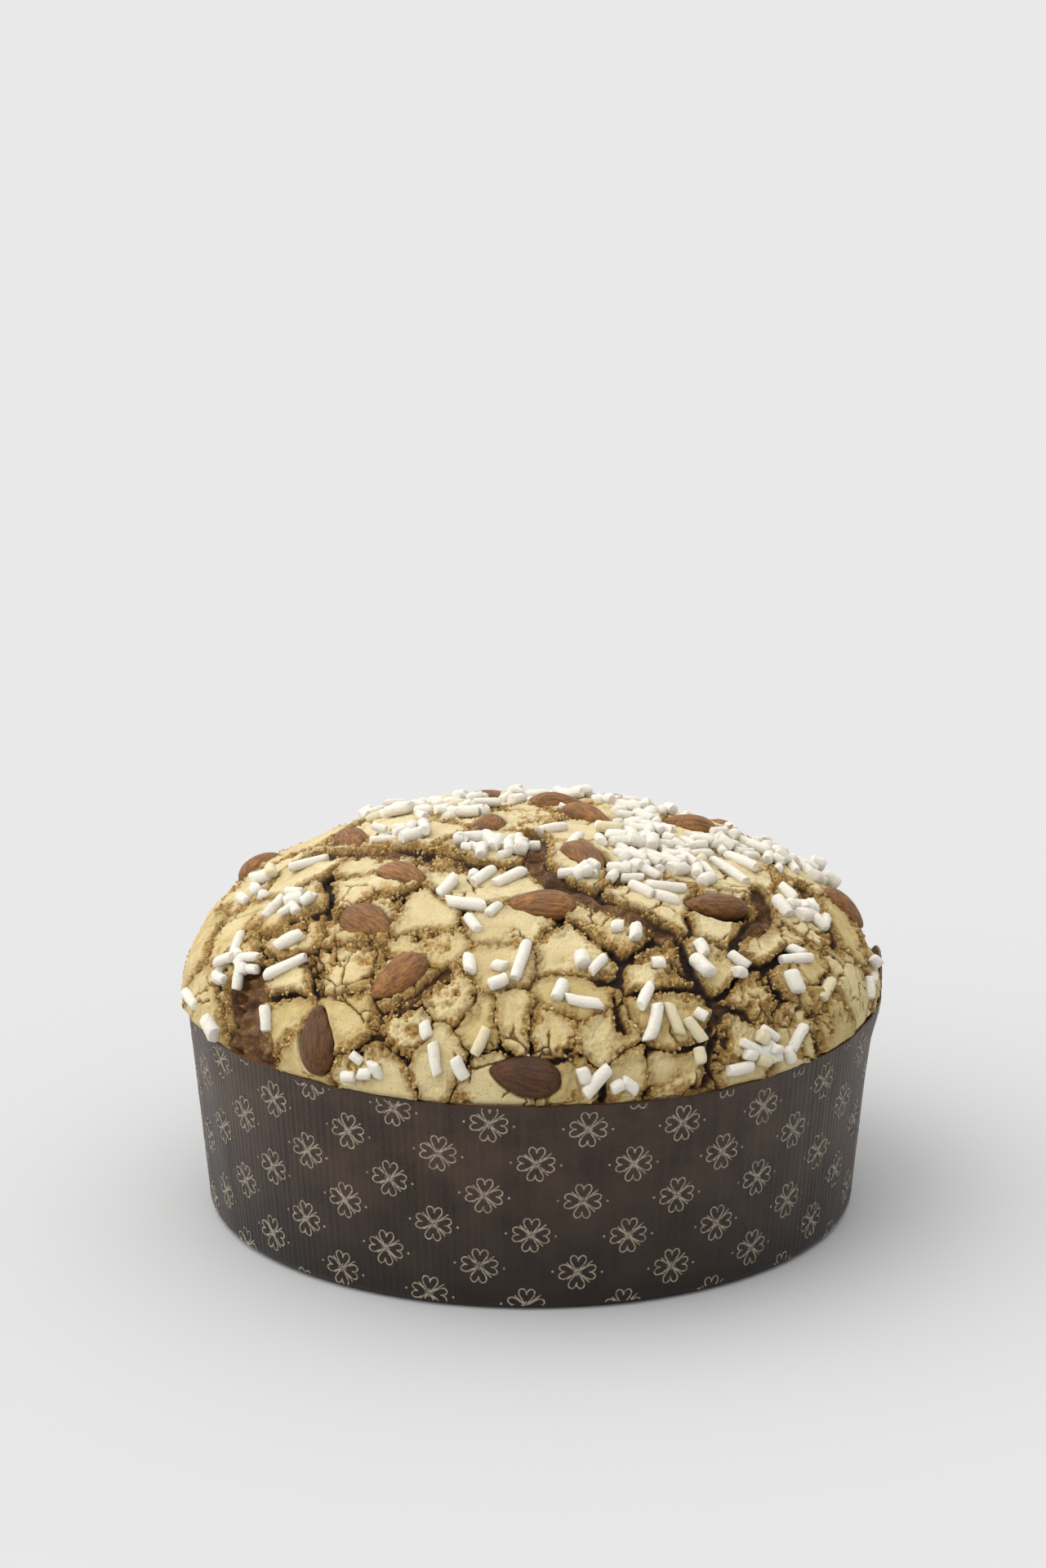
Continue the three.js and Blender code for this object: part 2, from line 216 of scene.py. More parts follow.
def onDome(azimuth, tilt):
    a, t = np.radians(azimuth), np.radians(tilt)
    sine, cosine = np.sin(t), np.maximum(np.cos(t), 0)
    power = dome.exponent
    total = (sine / dome.radius) ** power + (cosine / dome.rise) ** power
    reach = total ** (-1 / power)
    flat = reach * sine
    return np.stack([flat * np.cos(a), flat * np.sin(a), dome.base + reach * np.cos(t)], -1)


def anglesOf(points):
    x, y, z = np.moveaxis(points, -1, 0)
    tilt = np.arctan2(np.hypot(x, y), z - dome.base)
    return np.degrees(np.arctan2(y, x)), np.degrees(tilt)


def backOnDome(points):
    return onDome(*anglesOf(points))


def axesAt(points):
    # out of the dome, downhill, and round it
    x, y, z = np.moveaxis(points, -1, 0)
    out = np.maximum(np.hypot(x, y), 1e-6)
    power = dome.exponent
    steep = (out / dome.radius) ** (power - 1) / dome.radius
    upward = (np.maximum(z - dome.base, 0) / dome.rise) ** (power - 1) / dome.rise
    normal = np.stack([x / out * steep, y / out * steep, upward], -1)
    normal /= np.linalg.norm(normal, axis=-1, keepdims=True)
    around = np.stack([-y / out, x / out, 0 * out], -1)
    return normal, np.cross(around, normal), around


def alongLine(line):
    corners = [onDome(*place) for place in line]
    points = []
    for one, other in zip(corners, corners[1:]):
        steps = max(1, round(np.linalg.norm(other - one) / lineStep))
        points += [backOnDome(one + (other - one) * k / steps) for k in range(steps)]
    return points + [corners[-1]]


def lineDistance(points, lines):
    # each line is (half width, places); the distance is to the line's edge, negative inside
    least = np.full(len(points), 99.0)
    for halfWidth, line in lines:
        run = alongLine(line)
        for one, other in zip(run, run[1:]):
            along = other - one
            share = np.clip(((points - one) @ along) / (along @ along), 0, 1)
            away = np.linalg.norm(points - one - share[:, None] * along, axis=1)
            least = np.minimum(least, away - halfWidth)
    return least


# what lies where

# almonds: azimuth, tilt, turn of the point from downhill, share of full length
frontAlmonds = [
    (-137, 49, 91, 0.95), (-130, 63, 80, 1), (-115, 72, -34, 0.94), (-126, 84, -165, 0.98),
    (175, 51, 110, 0.9), (163, 71, -105, 0.95), (170, 14, -85, 0.85), (-87, 53, -95, 1),
    (-60, 33, -5, 1), (-40, 61, -120, 1), (23, 50, 170, 0.9), (43, 25, -84, 0.9),
    (76, 35, -70, 0.9), (1, 76, 20, 0.95), (-91, 86, -100, 1),
]

backAlmonds = [
    (26, 84, -37, 1), (46, 70, 60, 0.95), (67, 86, 0, 1.03), (68, 62, -117, 1), (91, 79, 144, 0.95),
    (101, 60, -140, 1.05), (115, 83, 75, 0.98), (125, 66, 20, 1), (140, 80, -174, 0.92),
]
# by number, counted from 0 through both lists: degrees rolled over, and how much darker
rolledAlmonds = {9: 35}
darkAlmonds = {1: 0.2, 3: 0.75, 9: 0.4, 14: 0.95, 17: 0.4, 20: 0.5}

# middles of the icing plates: azimuth, tilt
frontPlates = [
    (-153, 66), (-143, 71), (-151, 78), (-172, 79), (-136, 77), (-134, 83), (-129, 64),
    (-144, 56), (-151, 50), (-116, 60), (-126, 72), (-114, 73), (-99, 59), (-97, 69),
    (-104, 75), (-105, 83), (-98, 79), (-92, 79), (-97, 87), (-116, 86), (-111, 80),
    (-106, 48), (-120, 28), (-169, 36), (123, 42), (-169, 62), (-177, 69), (-163, 73),
    (-158, 86), (-121, 80), (-112, 66), (-128, 87), (-80, 67), (-70, 63), (-65, 70),
    (-82, 74), (-86, 80), (-78, 81), (-66, 79), (-67, 87), (-83, 87), (-75, 87),
    (-53, 71), (-49, 78), (-38, 70), (-37, 77), (-23, 83), (-54, 85), (-45, 86),
    (-32, 87), (-52, 57), (-42, 64), (-18, 56), (-68, 36), (-45, 38), (-26, 45),
    (-22, 69), (-4, 26), (6, 43), (5, 59), (4, 68), (-10, 76), (-3, 84),
]

# tears, where the brown crust shows: azimuth, tilt
tears = [
    [(-178, 58), (-165, 49), (-152, 42), (-135, 38), (-116, 39), (-98, 38), (-88, 36), (-84, 22),
     (-80, 10)],
    [(-88, 36), (-80, 47), (-71, 53), (-64, 58), (-59, 64)],
    [(-146, 80), (-142, 86)],
    [(-138, 89), (-144, 90)],
    [(-112, 76), (-107, 71)],
    [(-38, 68), (-29, 66), (-21, 62)],
    [(-21, 77), (-10, 70), (-5, 68)],
]
tearWidths = [3.4, 4.4, 8.5, 7, 2.2, 2.6, 2.8]  # half of each tear's width

wideCracks = [
    (1.5, [(-62, 70), (-59, 75), (-57, 80), (-59, 84), (-62, 90)]),
    (1.2, [(-48, 70), (-45, 76), (-44, 83)]),
    (1.0, [(-75, 71), (-75, 80)]),
    (0.9, [(-134, 73), (-129, 80)]),
    (0.8, [(-155, 72), (-146, 75)]),
]

# single sugar sticks: azimuth, tilt, length, turn from downhill
frontSticks = [
    (-108, 55, 13, 87), (-100, 56, 6, 155), (-104, 60, 8, 37), (-102, 69, 7, 14),
    (-96, 69, 4, 75), (-96, 72, 6, 120), (-92, 68, 15, -13), (-107, 80, 5, 20),
    (-105, 84, 10, 14), (-101, 85, 7, 29), (-98, 81, 9, -22), (-139, 75, 14, -37),
    (-143, 71, 10, -38), (-137, 83, 8, 25), (-171, 59, 13, 9), (-176, 67, 8, 148),
    (-151, 88, 7, 60), (-163, 87, 10, 80), (-117, 50, 9, 168), (-108, 44, 10, 160),
    (-98, 44, 11, 132), (-112, 44, 6, 20), (-80, 68, 5, 1), (-77, 69, 8, -45),
    (-70, 62, 4, 81), (-67, 64, 6, -23), (-65, 70, 4, 64), (-85, 73, 7, -22),
    (-81, 75, 11, 74), (-70, 75, 10, -37), (-70, 79, 12, -26), (-66, 79, 10, 10),
    (-63, 81, 9, 31), (-61, 79, 4, 43), (-63, 85, 5, -1), (-82, 86, 5, 20),
    (-80, 87, 11, -44), (-75, 88, 6, 49), (-77, 88, 4, 110), (-55, 69, 6, -12),
    (-57, 72, 8, 6), (-48, 72, 7, 29), (-50, 74, 5, 82), (-35, 75, 12, 70),
    (-33, 74, 5, 20), (-40, 78, 7, -6), (-32, 81, 11, -71), (-49, 84, 7, 50),
    (-52, 86, 14, 56), (-56, 88, 9, 90), (-43, 86, 10, -53), (-46, 88, 5, 20),
    (-24, 67, 8, -30), (-14, 66, 8, -39), (-17, 73, 11, -85), (-55, 52, 9, 15),
    (-47, 53, 13, 61), (-51, 56, 7, 40), (-18, 56, 16, -31), (-9, 57, 13, -36),
    (-31, 55, 7, 92), (-50, 22, 10, 120), (-26, 8, 10, 60),
]
creamSticks = [10, 31, 32, 34, 46]  # the yellower ones in that list, counted from 0

# drifts of sugar: azimuth, tilt, number of pieces, reach, longest piece
frontDrifts = [
    (-153, 66, 6, 8, 6), (-152, 78, 9, 9, 10), (-172, 68, 4, 8, 7), (-120, 29, 10, 9, 9),
    (-172, 40, 9, 12, 10), (134, 44, 8, 15, 10), (-48, 38, 24, 15, 8), (-70, 38, 6, 8, 7),
    (-22, 46, 14, 11, 9), (2, 33, 9, 12, 9), (9, 50, 12, 13, 8), (9, 62, 14, 12, 9),
    (10, 71, 8, 9, 8), (-19, 70, 6, 6, 6), (-117, 89, 5, 8, 5), (-51, 87, 5, 6, 5),
    (-97, 24, 5, 7, 9), (-12, 84, 3, 7, 8),
]

spread = SimpleNamespace(
    plateSpacing=27, plateTries=900, plateLowest=88,
    nutClear=11, tearClear=5.7, stickClear=3.4, rimClear=3,
    backDrifts=15, driftPieces=8, driftReach=14, shortest=4, driftLongest=11,
    backStart=15, backTurn=130, backHighest=32, backDown=54,  # degrees
)

draw = repeatableDraws(20261128)


def nearest(point, points):
    return np.min(np.linalg.norm(np.asarray(points) - point, axis=1))


def fillPlates():
    # places for more plates, where those listed leave room
    points = [onDome(*place) for place in frontPlates]
    added = []
    for _ in range(spread.plateTries):
        azimuth = 360 * draw() - 180
        tilt = spread.plateLowest * math.sqrt(draw())
        point = onDome(azimuth, tilt)
        if nearest(point, points) > spread.plateSpacing:
            points.append(point)
            added.append((azimuth, tilt))
    return added


almonds = frontAlmonds + backAlmonds
almondPoints = [onDome(one[0], one[1]) for one in almonds]
tearPoints = [point for line in tears for point in alongLine(line)]
plates = frontPlates + fillPlates()
plateMiddles = np.array([onDome(*place) for place in plates])


def strewn(middle, reach, chance):
    # a random place on the dome within reach of another
    _, downhill, around = axesAt(middle)
    away = reach * math.sqrt(chance())
    bearing = 2 * math.pi * chance()
    return backOnDome(middle + away * (math.cos(bearing) * downhill + math.sin(bearing) * around))


def driftOf(azimuth, tilt, count, reach, longest, taken):
    made = []
    for _ in range(count * 6):
        if len(made) == count:
            break
        point = strewn(onDome(azimuth, tilt), reach, draw)
        length = spread.shortest + (longest - spread.shortest) * draw()
        turn = 360 * draw()
        clear = (
            nearest(point, almondPoints) > spread.nutClear + length / 4
            and nearest(point, tearPoints) > spread.tearClear
            and nearest(point, taken) > spread.stickClear
            and point[2] > dome.base + spread.rimClear
        )
        if clear:
            taken.append(point)
            made.append((*anglesOf(point), length, turn))
    return made


taken = [onDome(one[0], one[1]) for one in frontSticks]
sticks = list(frontSticks)
for one in frontDrifts:
    sticks += driftOf(*one, taken)
backDrift = (spread.driftPieces, spread.driftReach, spread.driftLongest)
for _ in range(spread.backDrifts):
    azimuth = spread.backStart + spread.backTurn * draw()
    tilt = spread.backHighest + spread.backDown * draw()
    sticks += driftOf(azimuth, tilt, *backDrift, taken)


nut = SimpleNamespace(length=21.8, width=12.4, thickness=8.8, around=56, rings=36, sunk=0.6)


def nutWidth(x):
    # narrows an oval towards its point: x is -1 at the blunt end and 1 at the point
    return 1 - 0.28 * x - 0.12 * x * x


# the icing's relief

icing = SimpleNamespace(
    thickness=3.7,  # from a plate's top down to the crust
    narrow=0.25,  # half the width of a crack, from the narrowest
    open=1.7,  # to the widest
    deeper=1.6,  # how much deeper the tears go
    edgeRun=0.45,  # how far the top rounds over into a crack
    lip=0.6,  # how far an edge hangs over
    curl=0.35,  # how far an edge curls up
    flake=10.0,  # width of the flakes that a plate breaks into
    chip=4.6,  # and of the chips along a crack
    crumb=0.55,  # height of the crumbs along an edge
    rough=0.9,  # height of the crumbs in a rough patch
    nutBed=3.2,  # depth of the bed under an almond
    rimLow=67.0, rimHigh=68.5, rimSunk=0.3,  # where the surface slips in behind the paper
)

# where the icing has risen or sunk as a whole: azimuth, tilt, reach, height
swells = [
    (-150, 45, 38, 1.4), (-20, 48, 34, -1.2), (-70, 77, 17, 0.8), (-30, 80, 18, 0.7),
    (-98, 60, 15, 0.9), (-68, 36, 22, 1.0), (-170, 34, 22, 1.0), (-118, 80, 14, 0.5),
    (60, 60, 35, 0.8), (120, 65, 35, -0.6), (4, 84, 15, -1.6),
]

# where the cracks gape: azimuth, tilt, reach
gaping = [(-60, 76, 26), (-45, 72, 22), (-72, 66, 20), (-78, 56, 18), (-140, 76, 16), (-152, 62, 18)]

# where it stayed crumbly: azimuth, tilt, reach
roughPatches = [
    (-113, 80, 12), (-118, 85, 10), (-106, 74, 8), (-48, 78, 7), (-32, 64, 6), (-125, 68, 9),
    (-133, 57, 10), (-60, 46, 6), (-112, 65, 9), (-158, 72, 7), (-84, 82, 5), (-62, 75, 5),
    (-20, 74, 6), (-140, 66, 6), (70, 70, 12), (110, 55, 12), (150, 80, 12), (40, 80, 10),
]

plateDraw = np.random.default_rng(9)
plateRise = plateDraw.uniform(-0.5, 0.5, len(plates))
plateTone = plateDraw.uniform(0, 1, len(plates))
plateLean = plateDraw.normal(0, 0.022, (len(plates), 3))


def plateBorders(points):
    apart = np.linalg.norm(plateMiddles[:, None] - plateMiddles[None], axis=2)
    border = np.empty(len(points))
    plate = np.empty(len(points), dtype=int)
    for start in range(0, len(points), 40000):
        some = points[start:start + 40000]
        away = ((some[:, None] - plateMiddles[None]) ** 2).sum(2)
        own = away.argmin(1)
        first = away[np.arange(len(some)), own]
        halfway = (away - first[:, None]) / (2 * apart[own] + 1e-9)
        halfway[np.arange(len(some)), own] = 99
        border[start:start + 40000] = halfway.min(1)
        plate[start:start + 40000] = own
    return border, plate


def almondFrames():
    made = []
    for number, (azimuth, tilt, turn, share) in enumerate(almonds):
        place = onDome(azimuth, tilt)
        normal, downhill, around = axesAt(place)
        t = math.radians(turn)
        along = downhill * math.cos(t) + around * math.sin(t)
        across = np.cross(normal, along)
        roll = math.radians(rolledAlmonds.get(number, 0))
        turned = across * math.cos(roll) + normal * math.sin(roll)
        middle = place - nut.sunk * normal
        made.append((middle, along, turned, np.cross(along, turned), share))
    return made


nuts = almondFrames()


def nearPlaces(points, places):
    # 1 in the middle of any of the places, fading to 0 at its reach
    found = np.zeros(len(points))
    for azimuth, tilt, reach in places:
        away = np.linalg.norm(points - onDome(azimuth, tilt), axis=1)
        found = np.maximum(found, 1 - eased(away, 0.5 * reach, 1.15 * reach))
    return found


def crumbly(points, shift):
    # rounded lumps of three sizes with sharp creases between them
    lumps = 1 - 1.8 * np.abs(softNoise(points, 2.5, shift))
    lumps += 0.75 * (1 - 1.8 * np.abs(softNoise(points, 1.25, shift + 1.0)))
    lumps += 0.45 * softNoise(points, 0.7, shift + 2.0)
    return lumps / 1.4 - 0.5


def reliefOf(points):
    # height over the smooth dome, a sideways push, and what the finish needs to know
    def noise(size, shift=0.0):
        return softNoise(points, size, shift)

    ragged = (
        points + wanderOf(points, 19, 2.4, 40.0) + wanderOf(points, 8, 1.5)
        + wanderOf(points, 3.2, 0.95, 3.0) + wanderOf(points, 1.3, 0.45, 7.0)
    )
    border, plate = plateBorders(ragged)
    swing = wanderOf(points, 12, 1.8, 4.0) + wanderOf(points, 3.4, 0.9, 6.0)
    tear = lineDistance(points + swing, list(zip(tearWidths, tears)))
    wide = lineDistance(ragged, wideCracks)
    gape = nearPlaces(points, gaping) + 0.6 * noise(17, 8.0)
    gape = np.clip(gape + 0.5 * noise(7, 60.0) + 0.1, 0, 1)
    crack = icing.narrow + (icing.open - icing.narrow) * gape ** 1.5
    edge = np.minimum(np.minimum(border - crack, wide), tear)
    smooth = eased(noise(30, 50.0), -0.25, 0.35)

    # tops of the plates
    swell = np.zeros(len(points))
    for azimuth, tilt, reach, height in swells:
        away = np.linalg.norm(points - onDome(azimuth, tilt), axis=1)
        swell += height * np.exp(-(away / reach) ** 2 * 2)
    offset = points - plateMiddles[plate]
    creases = 1 - eased(np.abs(softNoise(ragged, 9.5, 44.0)), 0, 0.045)
    creases = creases * eased(noise(13, 45.0), 0.05, 0.35)
    top = (
        swell + plateRise[plate] + (offset * plateLean[plate]).sum(1)
        + 0.5 * noise(14, 2.0) + 0.2 * noise(4.5, 9.0)
        + (0.13 - 0.06 * smooth) * noise(1.9, 1.0) - 0.3 * creases
        + icing.curl * np.exp(-((edge - 1.8) / 1.3) ** 2)
    )

    # rough patches: crumbs and pits
    patchy = eased(noise(22, 12.0), 0.08, 0.4)
    rough = np.maximum(nearPlaces(points, roughPatches), 0.75 * patchy)
    rough = np.clip(rough + 0.35 * noise(5, 13.0), 0, 1)
    crumbs = crumbly(points, 15.0)
    pits = eased(noise(3.2, 17.0), 0.12, 0.5)

    # flakes where the plate has crazed, and chips along the cracks
    flake = flakeBorders(ragged, icing.flake)
    crazed = eased(noise(18, 19.0) + 0.3 * rough, 0.12, 0.3)
    flakeGap = (1 - eased(flake, 0.05, 0.55)) * crazed
    chip = flakeBorders(ragged, icing.chip, 9.0)
    chipped = np.exp(-np.maximum(edge, 0) / 2.6) * eased(noise(9, 29.0), 0.0, 0.3)
    chipGap = (1 - eased(chip, 0.0, 0.5)) * chipped

    # the smooth skin tears off a little before the crack and shows its crumbly inside
    skinEnd = edge + 0.8 * noise(1.7, 61.0) + 0.8 * noise(4.5, 62.0)
    skinEnd = skinEnd + 0.9 * noise(13, 63.0) - 1.6 * eased(rough, 0.45, 0.8)
    torn = 1 - eased(skinEnd, 0.85, 1.45)

    # the edge, rounded over and set with crumbs
    run = icing.edgeRun * (1 + 0.6 * noise(2.3, 21.0))
    share = eased(edge, -0.3, run)
    nearEdge = np.exp(-np.maximum(edge, 0) / 1.9) * eased(edge, -0.8, 0.3)
    relief = (
        top
        + nearEdge * icing.crumb * 2 * crumbs
        + rough * (icing.rough * 1.2 * crumbs - 1.5 * pits)
        - 1.3 * flakeGap - 1.1 * chipGap - 0.5 * torn * (1 - crumbs)
    )

    # the crust below: folds that run along the tear
    folds = (
        2.3 * (1 - 2.6 * np.abs(softNoise(points * np.array([0.25, 1, 1.2]), 4.6, 23.0)))
        + 0.5 * noise(2.0, 24.0)
    )
    bare = eased(-tear, 0, 1.3)
    depth = icing.thickness * (0.7 + 0.3 * gape) + 1.0 * (1 - bare) * eased(-wide, -0.2, 1)
    depth = depth + icing.deeper * eased(-tear, 0.5, 3)
    floor = swell - depth + bare * folds + (1 - bare) * 0.5 * crumbs
    height = floor + (relief - floor) * share

    # a bed round each almond
    inNut = np.zeros(len(points))
    for place, along, across, normal, size in nuts:
        away = points - place
        x = away @ along / (nut.length / 2 * size)
        y = away @ across / (nut.width / 2 * size)
        y = y / np.maximum(nutWidth(x), 0.4)
        near = np.abs(away @ normal) < 12
        ring = np.where(near, np.hypot(x, y), 9) - 0.05 * noise(3.0, 32.0)
        collar = np.exp(-((ring - 1.12) / 0.13) ** 2) * (0.5 + 0.6 * noise(5, 31.0))
        inside = 1 - eased(ring, 0.9, 1.03)
        height = height + 1.0 * collar
        height = height * (1 - inside) - icing.nutBed * inside
        inNut = np.maximum(inNut, 1 - eased(ring, 0.9, 1.1))

    # the surface meets the paper cleanly at the rim
    atRim = eased(points[:, 2], icing.rimLow, icing.rimHigh)
    height = height * atRim - icing.rimSunk * (1 - atRim)
    outward = offset / np.maximum(np.linalg.norm(offset, axis=1, keepdims=True), 1e-6)
    lip = icing.lip * np.exp(-((edge - 0.6) / 0.6) ** 2) * atRim * (1 - inNut)
    marks = {
        "edge": np.clip(edge, -4, 8),
        "tone": plateTone[plate],
        "rough": rough * (0.35 + 0.65 * eased(-crumbs, -0.3, 0.3)) + pits * rough,
        "flakeGap": np.maximum(np.maximum(flakeGap, chipGap), 0.45 * creases),
        "bare": bare,
        "torn": np.maximum(torn, 0.9 * eased(flakeGap, 0.15, 0.5)) * (1 - bare),
        "deep": np.clip(top - height, 0, 8),
    }
    return height, outward * lip[:, None], plate, marks


# the top of the loaf: a square grid drawn out to a disc, laid over the dome and raised to the relief
loaf = SimpleNamespace(grid=640, lastTilt=92.5, tuck=2.6, crownGroup=32)


def discPlaces(square):
    # rings of the square become rings round the crown; gives each place's share of the way and azimuth
    x, y = square[:, 0], square[:, 1]
    wide = np.abs(x) >= np.abs(y)
    over = np.where(np.abs(np.where(wide, x, y)) < 1e-9, 1, np.where(wide, x, y))
    part = np.where(wide, y / over, x / over) * math.pi / 4
    azimuth = np.where(wide, part, math.pi / 2 - part) + np.where(over < 0, math.pi, 0)
    return np.maximum(np.abs(x), np.abs(y)), azimuth


def shapeLoaf():
    deselectAll()
    bpy.ops.mesh.primitive_grid_add(
        x_subdivisions=loaf.grid, y_subdivisions=loaf.grid, size=2, location=(0, 0, 0)
    )
    piece = bpy.context.object
    mesh = piece.data
    share, azimuth = discPlaces(readPoints(mesh))

    # even steps along the outline from the crown to just inside the paper
    tilts = np.linspace(0, loaf.lastTilt, 2000)
    walk = onDome(0.0, tilts)
    length = np.concatenate([[0], np.cumsum(np.linalg.norm(np.diff(walk, axis=0), axis=1))])
    outline = onDome(0.0, np.interp(share * length[-1], length, tilts))[:, [0, 2]]
    outline[:, 0] -= loaf.tuck * (1 - eased(outline[:, 1], 67.3, 70.3))
    points = np.stack(
        [outline[:, 0] * np.cos(azimuth), outline[:, 0] * np.sin(azimuth), outline[:, 1]], 1
    )
    height, push, plate, marks = reliefOf(points)
    normal, _, _ = axesAt(points)
    writePoints(mesh, (points + normal * height[:, None] + push) / 1000)
    for name, values in marks.items():
        writeValue(mesh, name, values)
    middleAzimuth, middleTilt = np.array([(p[0], p[1]) for p in plates]).T
    group = np.floor((np.mod(middleAzimuth + 90 + 36, 360)) / 72).astype(int)
    group[middleTilt < loaf.crownGroup] = 5
    return piece, group[plate]


def splitLoaf(piece, sector):
    # parted along the cracks, so that each piece stays light; each is closed to the dome's middle
    mesh = piece.data
    for k in range(6):
        mesh.materials.append(bpy.data.materials.new("part" + str(k)))
    corner = np.empty(len(mesh.loops), dtype=np.int32)
    mesh.loops.foreach_get("vertex_index", corner)
    start = np.empty(len(mesh.polygons), dtype=np.int32)
    mesh.polygons.foreach_get("loop_start", start)
    mesh.polygons.foreach_set("material_index", sector[corner[start]].astype(np.int32))
    editAll()
    bpy.ops.mesh.separate(type="MATERIAL")
    leaveEdit()
    parts = list(bpy.context.selected_objects)
    bpy.context.scene.cursor.location = (0, 0, dome.base / 1000 - 0.012)
    for part in parts:
        selectOnly(part)
        bpy.ops.object.mode_set(mode="EDIT")
        bpy.ops.mesh.select_mode(type="EDGE")
        bpy.ops.mesh.select_all(action="DESELECT")
        bpy.ops.mesh.select_non_manifold(
            extend=False, use_wire=False, use_boundary=True, use_multi_face=False,
            use_non_contiguous=False, use_verts=False,
        )
        bpy.ops.mesh.mark_sharp()
        bpy.ops.mesh.extrude_edges_move()
        bpy.ops.mesh.merge(type="CURSOR")
        leaveEdit()
        bpy.ops.object.shade_smooth()
    return parts


def icingFinish():
    # whipped almond icing baked dry: a matte, faintly mottled tan skin that turns gold and
    # crumbly where it breaks, over a brown, slightly shiny crust
    colours = {
        # top is painted light: a paler colour for the crown, where the light from above falls strongest
        "pale": "#D2C08F", "tan": "#B9A065", "gold": "#A57A35", "brown": "#5A3A19", "top": "#DFD3B0",
        "grain": "#C9AE70",
        # the next colour is painted shade, near black at the bottoms of the cracks
        "paintedCrackShade": "#22130A", "crust": "#714A24", "crustGold": "#A97F3F", "scorch": "#35220F",
    }
    finish, tree, shader = newFinish(
        "bakedAlmondIcing", Roughness=0.82, Subsurface_Weight=0.05, Subsurface_Scale=0.001
    )
    place = addNode(tree, "ShaderNodeTexCoord").outputs["Object"]
    mark = {
        name: addNode(tree, "ShaderNodeAttribute", attribute_name=name).outputs["Fac"]
        for name in ("edge", "tone", "rough", "flakeGap", "bare", "deep", "torn")
    }

    def noise(millimetres, detail=3.0, roughness=0.6):
        return addNode(
            tree, "ShaderNodeTexNoise",
            {"Vector": place, "Scale": 1000 / millimetres, "Detail": detail, "Roughness": roughness},
        ).outputs["Fac"]

    def ranged(value, low, high, start=0.0, end=1.0):
        return addNode(
            tree, "ShaderNodeMapRange",
            {"Value": value, "From Min": low, "From Max": high, "To Min": start, "To Max": end},
            interpolation_type="SMOOTHSTEP",
        ).outputs["Result"]

    def sums(one, other, operation="ADD"):
        return addNode(tree, "ShaderNodeMath", {0: one, 1: other}, operation=operation).outputs[0]

    def mixed(share, one, other):
        return addNode(
            tree, "ShaderNodeMixRGB", {"Fac": share, "Color1": one, "Color2": other}
        ).outputs["Color"]

    mottle = sums(sums(noise(9, 5, 0.65), 0.7, "MULTIPLY"), sums(mark["tone"], 0.3, "MULTIPLY"))
    skin = mixed(ranged(mottle, 0.36, 0.68), linear(colours["pale"]), linear(colours["tan"]))
    height = addNode(tree, "ShaderNodeSeparateXYZ", {"Vector": place}).outputs["Z"]
    # painted light: the icing turns paler towards the crown, standing in for the strong light from above
    skin = mixed(ranged(height, 0.088, 0.124, 0, 0.4), skin, linear(colours["top"]))
    specks = ranged(noise(1.1, 3, 0.7), 0.56, 0.72)
    skin = mixed(sums(specks, 0.5, "MULTIPLY"), skin, linear(colours["gold"]))
    pores = ranged(noise(0.55, 2), 0.62, 0.72)
    skin = mixed(sums(pores, 0.35, "MULTIPLY"), skin, linear(colours["brown"]))
    grit = noise(2.0, 4, 0.75)
    frayed = sums(mark["edge"], sums(grit, 3.6, "MULTIPLY"), "SUBTRACT")
    atEdge = ranged(frayed, 1.2, -1.8)
    skin = mixed(sums(atEdge, 0.5, "MULTIPLY"), skin, linear(colours["gold"]))
    inside = mixed(
        ranged(noise(1.0, 3, 0.7), 0.45, 0.62), linear(colours["gold"]), linear(colours["grain"])
    )
    tornOff = ranged(sums(mark["torn"], sums(grit, 0.5, "MULTIPLY")), 0.55, 0.85)
    skin = mixed(sums(tornOff, 0.9, "MULTIPLY"), skin, inside)
    skin = mixed(ranged(mark["rough"], 0.3, 1.2, 0, 0.85), skin, linear(colours["gold"]))
    depth = sums(mark["deep"], sums(grit, 1.0, "MULTIPLY"), "ADD")
    skin = mixed(ranged(depth, 0.8, 2.0, 0, 0.85), skin, inside)
    skin = mixed(ranged(depth, 1.5, 2.8, 0, 0.95), skin, linear(colours["brown"]))
    skin = mixed(ranged(mark["flakeGap"], 0.3, 0.95, 0, 0.7), skin, linear(colours["brown"]))
    # painted shade: near black at the bottom of each crack, where little light reaches
    skin = mixed(ranged(depth, 2.5, 3.9, 0, 0.92), skin, linear(colours["paintedCrackShade"]))
    crust = mixed(
        ranged(noise(2.6, 4, 0.7), 0.48, 0.68), linear(colours["crust"]), linear(colours["crustGold"])
    )
    crust = mixed(ranged(noise(8, 4), 0.5, 0.68, 0, 0.6), crust, linear(colours["scorch"]))
    skin = mixed(mark["bare"], skin, crust)
    tree.links.new(skin, shader.inputs["Base Color"])
    gloss = ranged(mark["bare"], 0, 1, 0.82, 0.5)
    tree.links.new(gloss, shader.inputs["Roughness"])
    granular = sums(noise(1.3, 4, 0.7), ranged(mark["edge"], 3.5, 0.3, 0.4, 2.2), "MULTIPLY")
    coarse = addNode(
        tree, "ShaderNodeBump", {"Height": granular, "Strength": 0.9, "Distance": 0.0009}
    )
    fine = addNode(
        tree, "ShaderNodeBump",
        {"Height": noise(0.7, 4, 0.7), "Strength": 1.0, "Distance": 0.0005, "Normal": coarse.outputs[0]},
    )
    tree.links.new(fine.outputs["Normal"], shader.inputs["Normal"])
    return finish


loafWhole, loafSectors = shapeLoaf()
loafParts = splitLoaf(loafWhole, loafSectors)
icingLook = icingFinish()
for number, part in enumerate(sorted(loafParts, key=lambda one: one.name)):
    part.name = "icing_part_" + str(number + 1)
    dress(part, icingLook, "icing", "cake")


# the side of the loaf, inside the paper
side = SimpleNamespace(foot=102.4, shoulder=109.7, bottom=1.35, top=67.4, around=160)

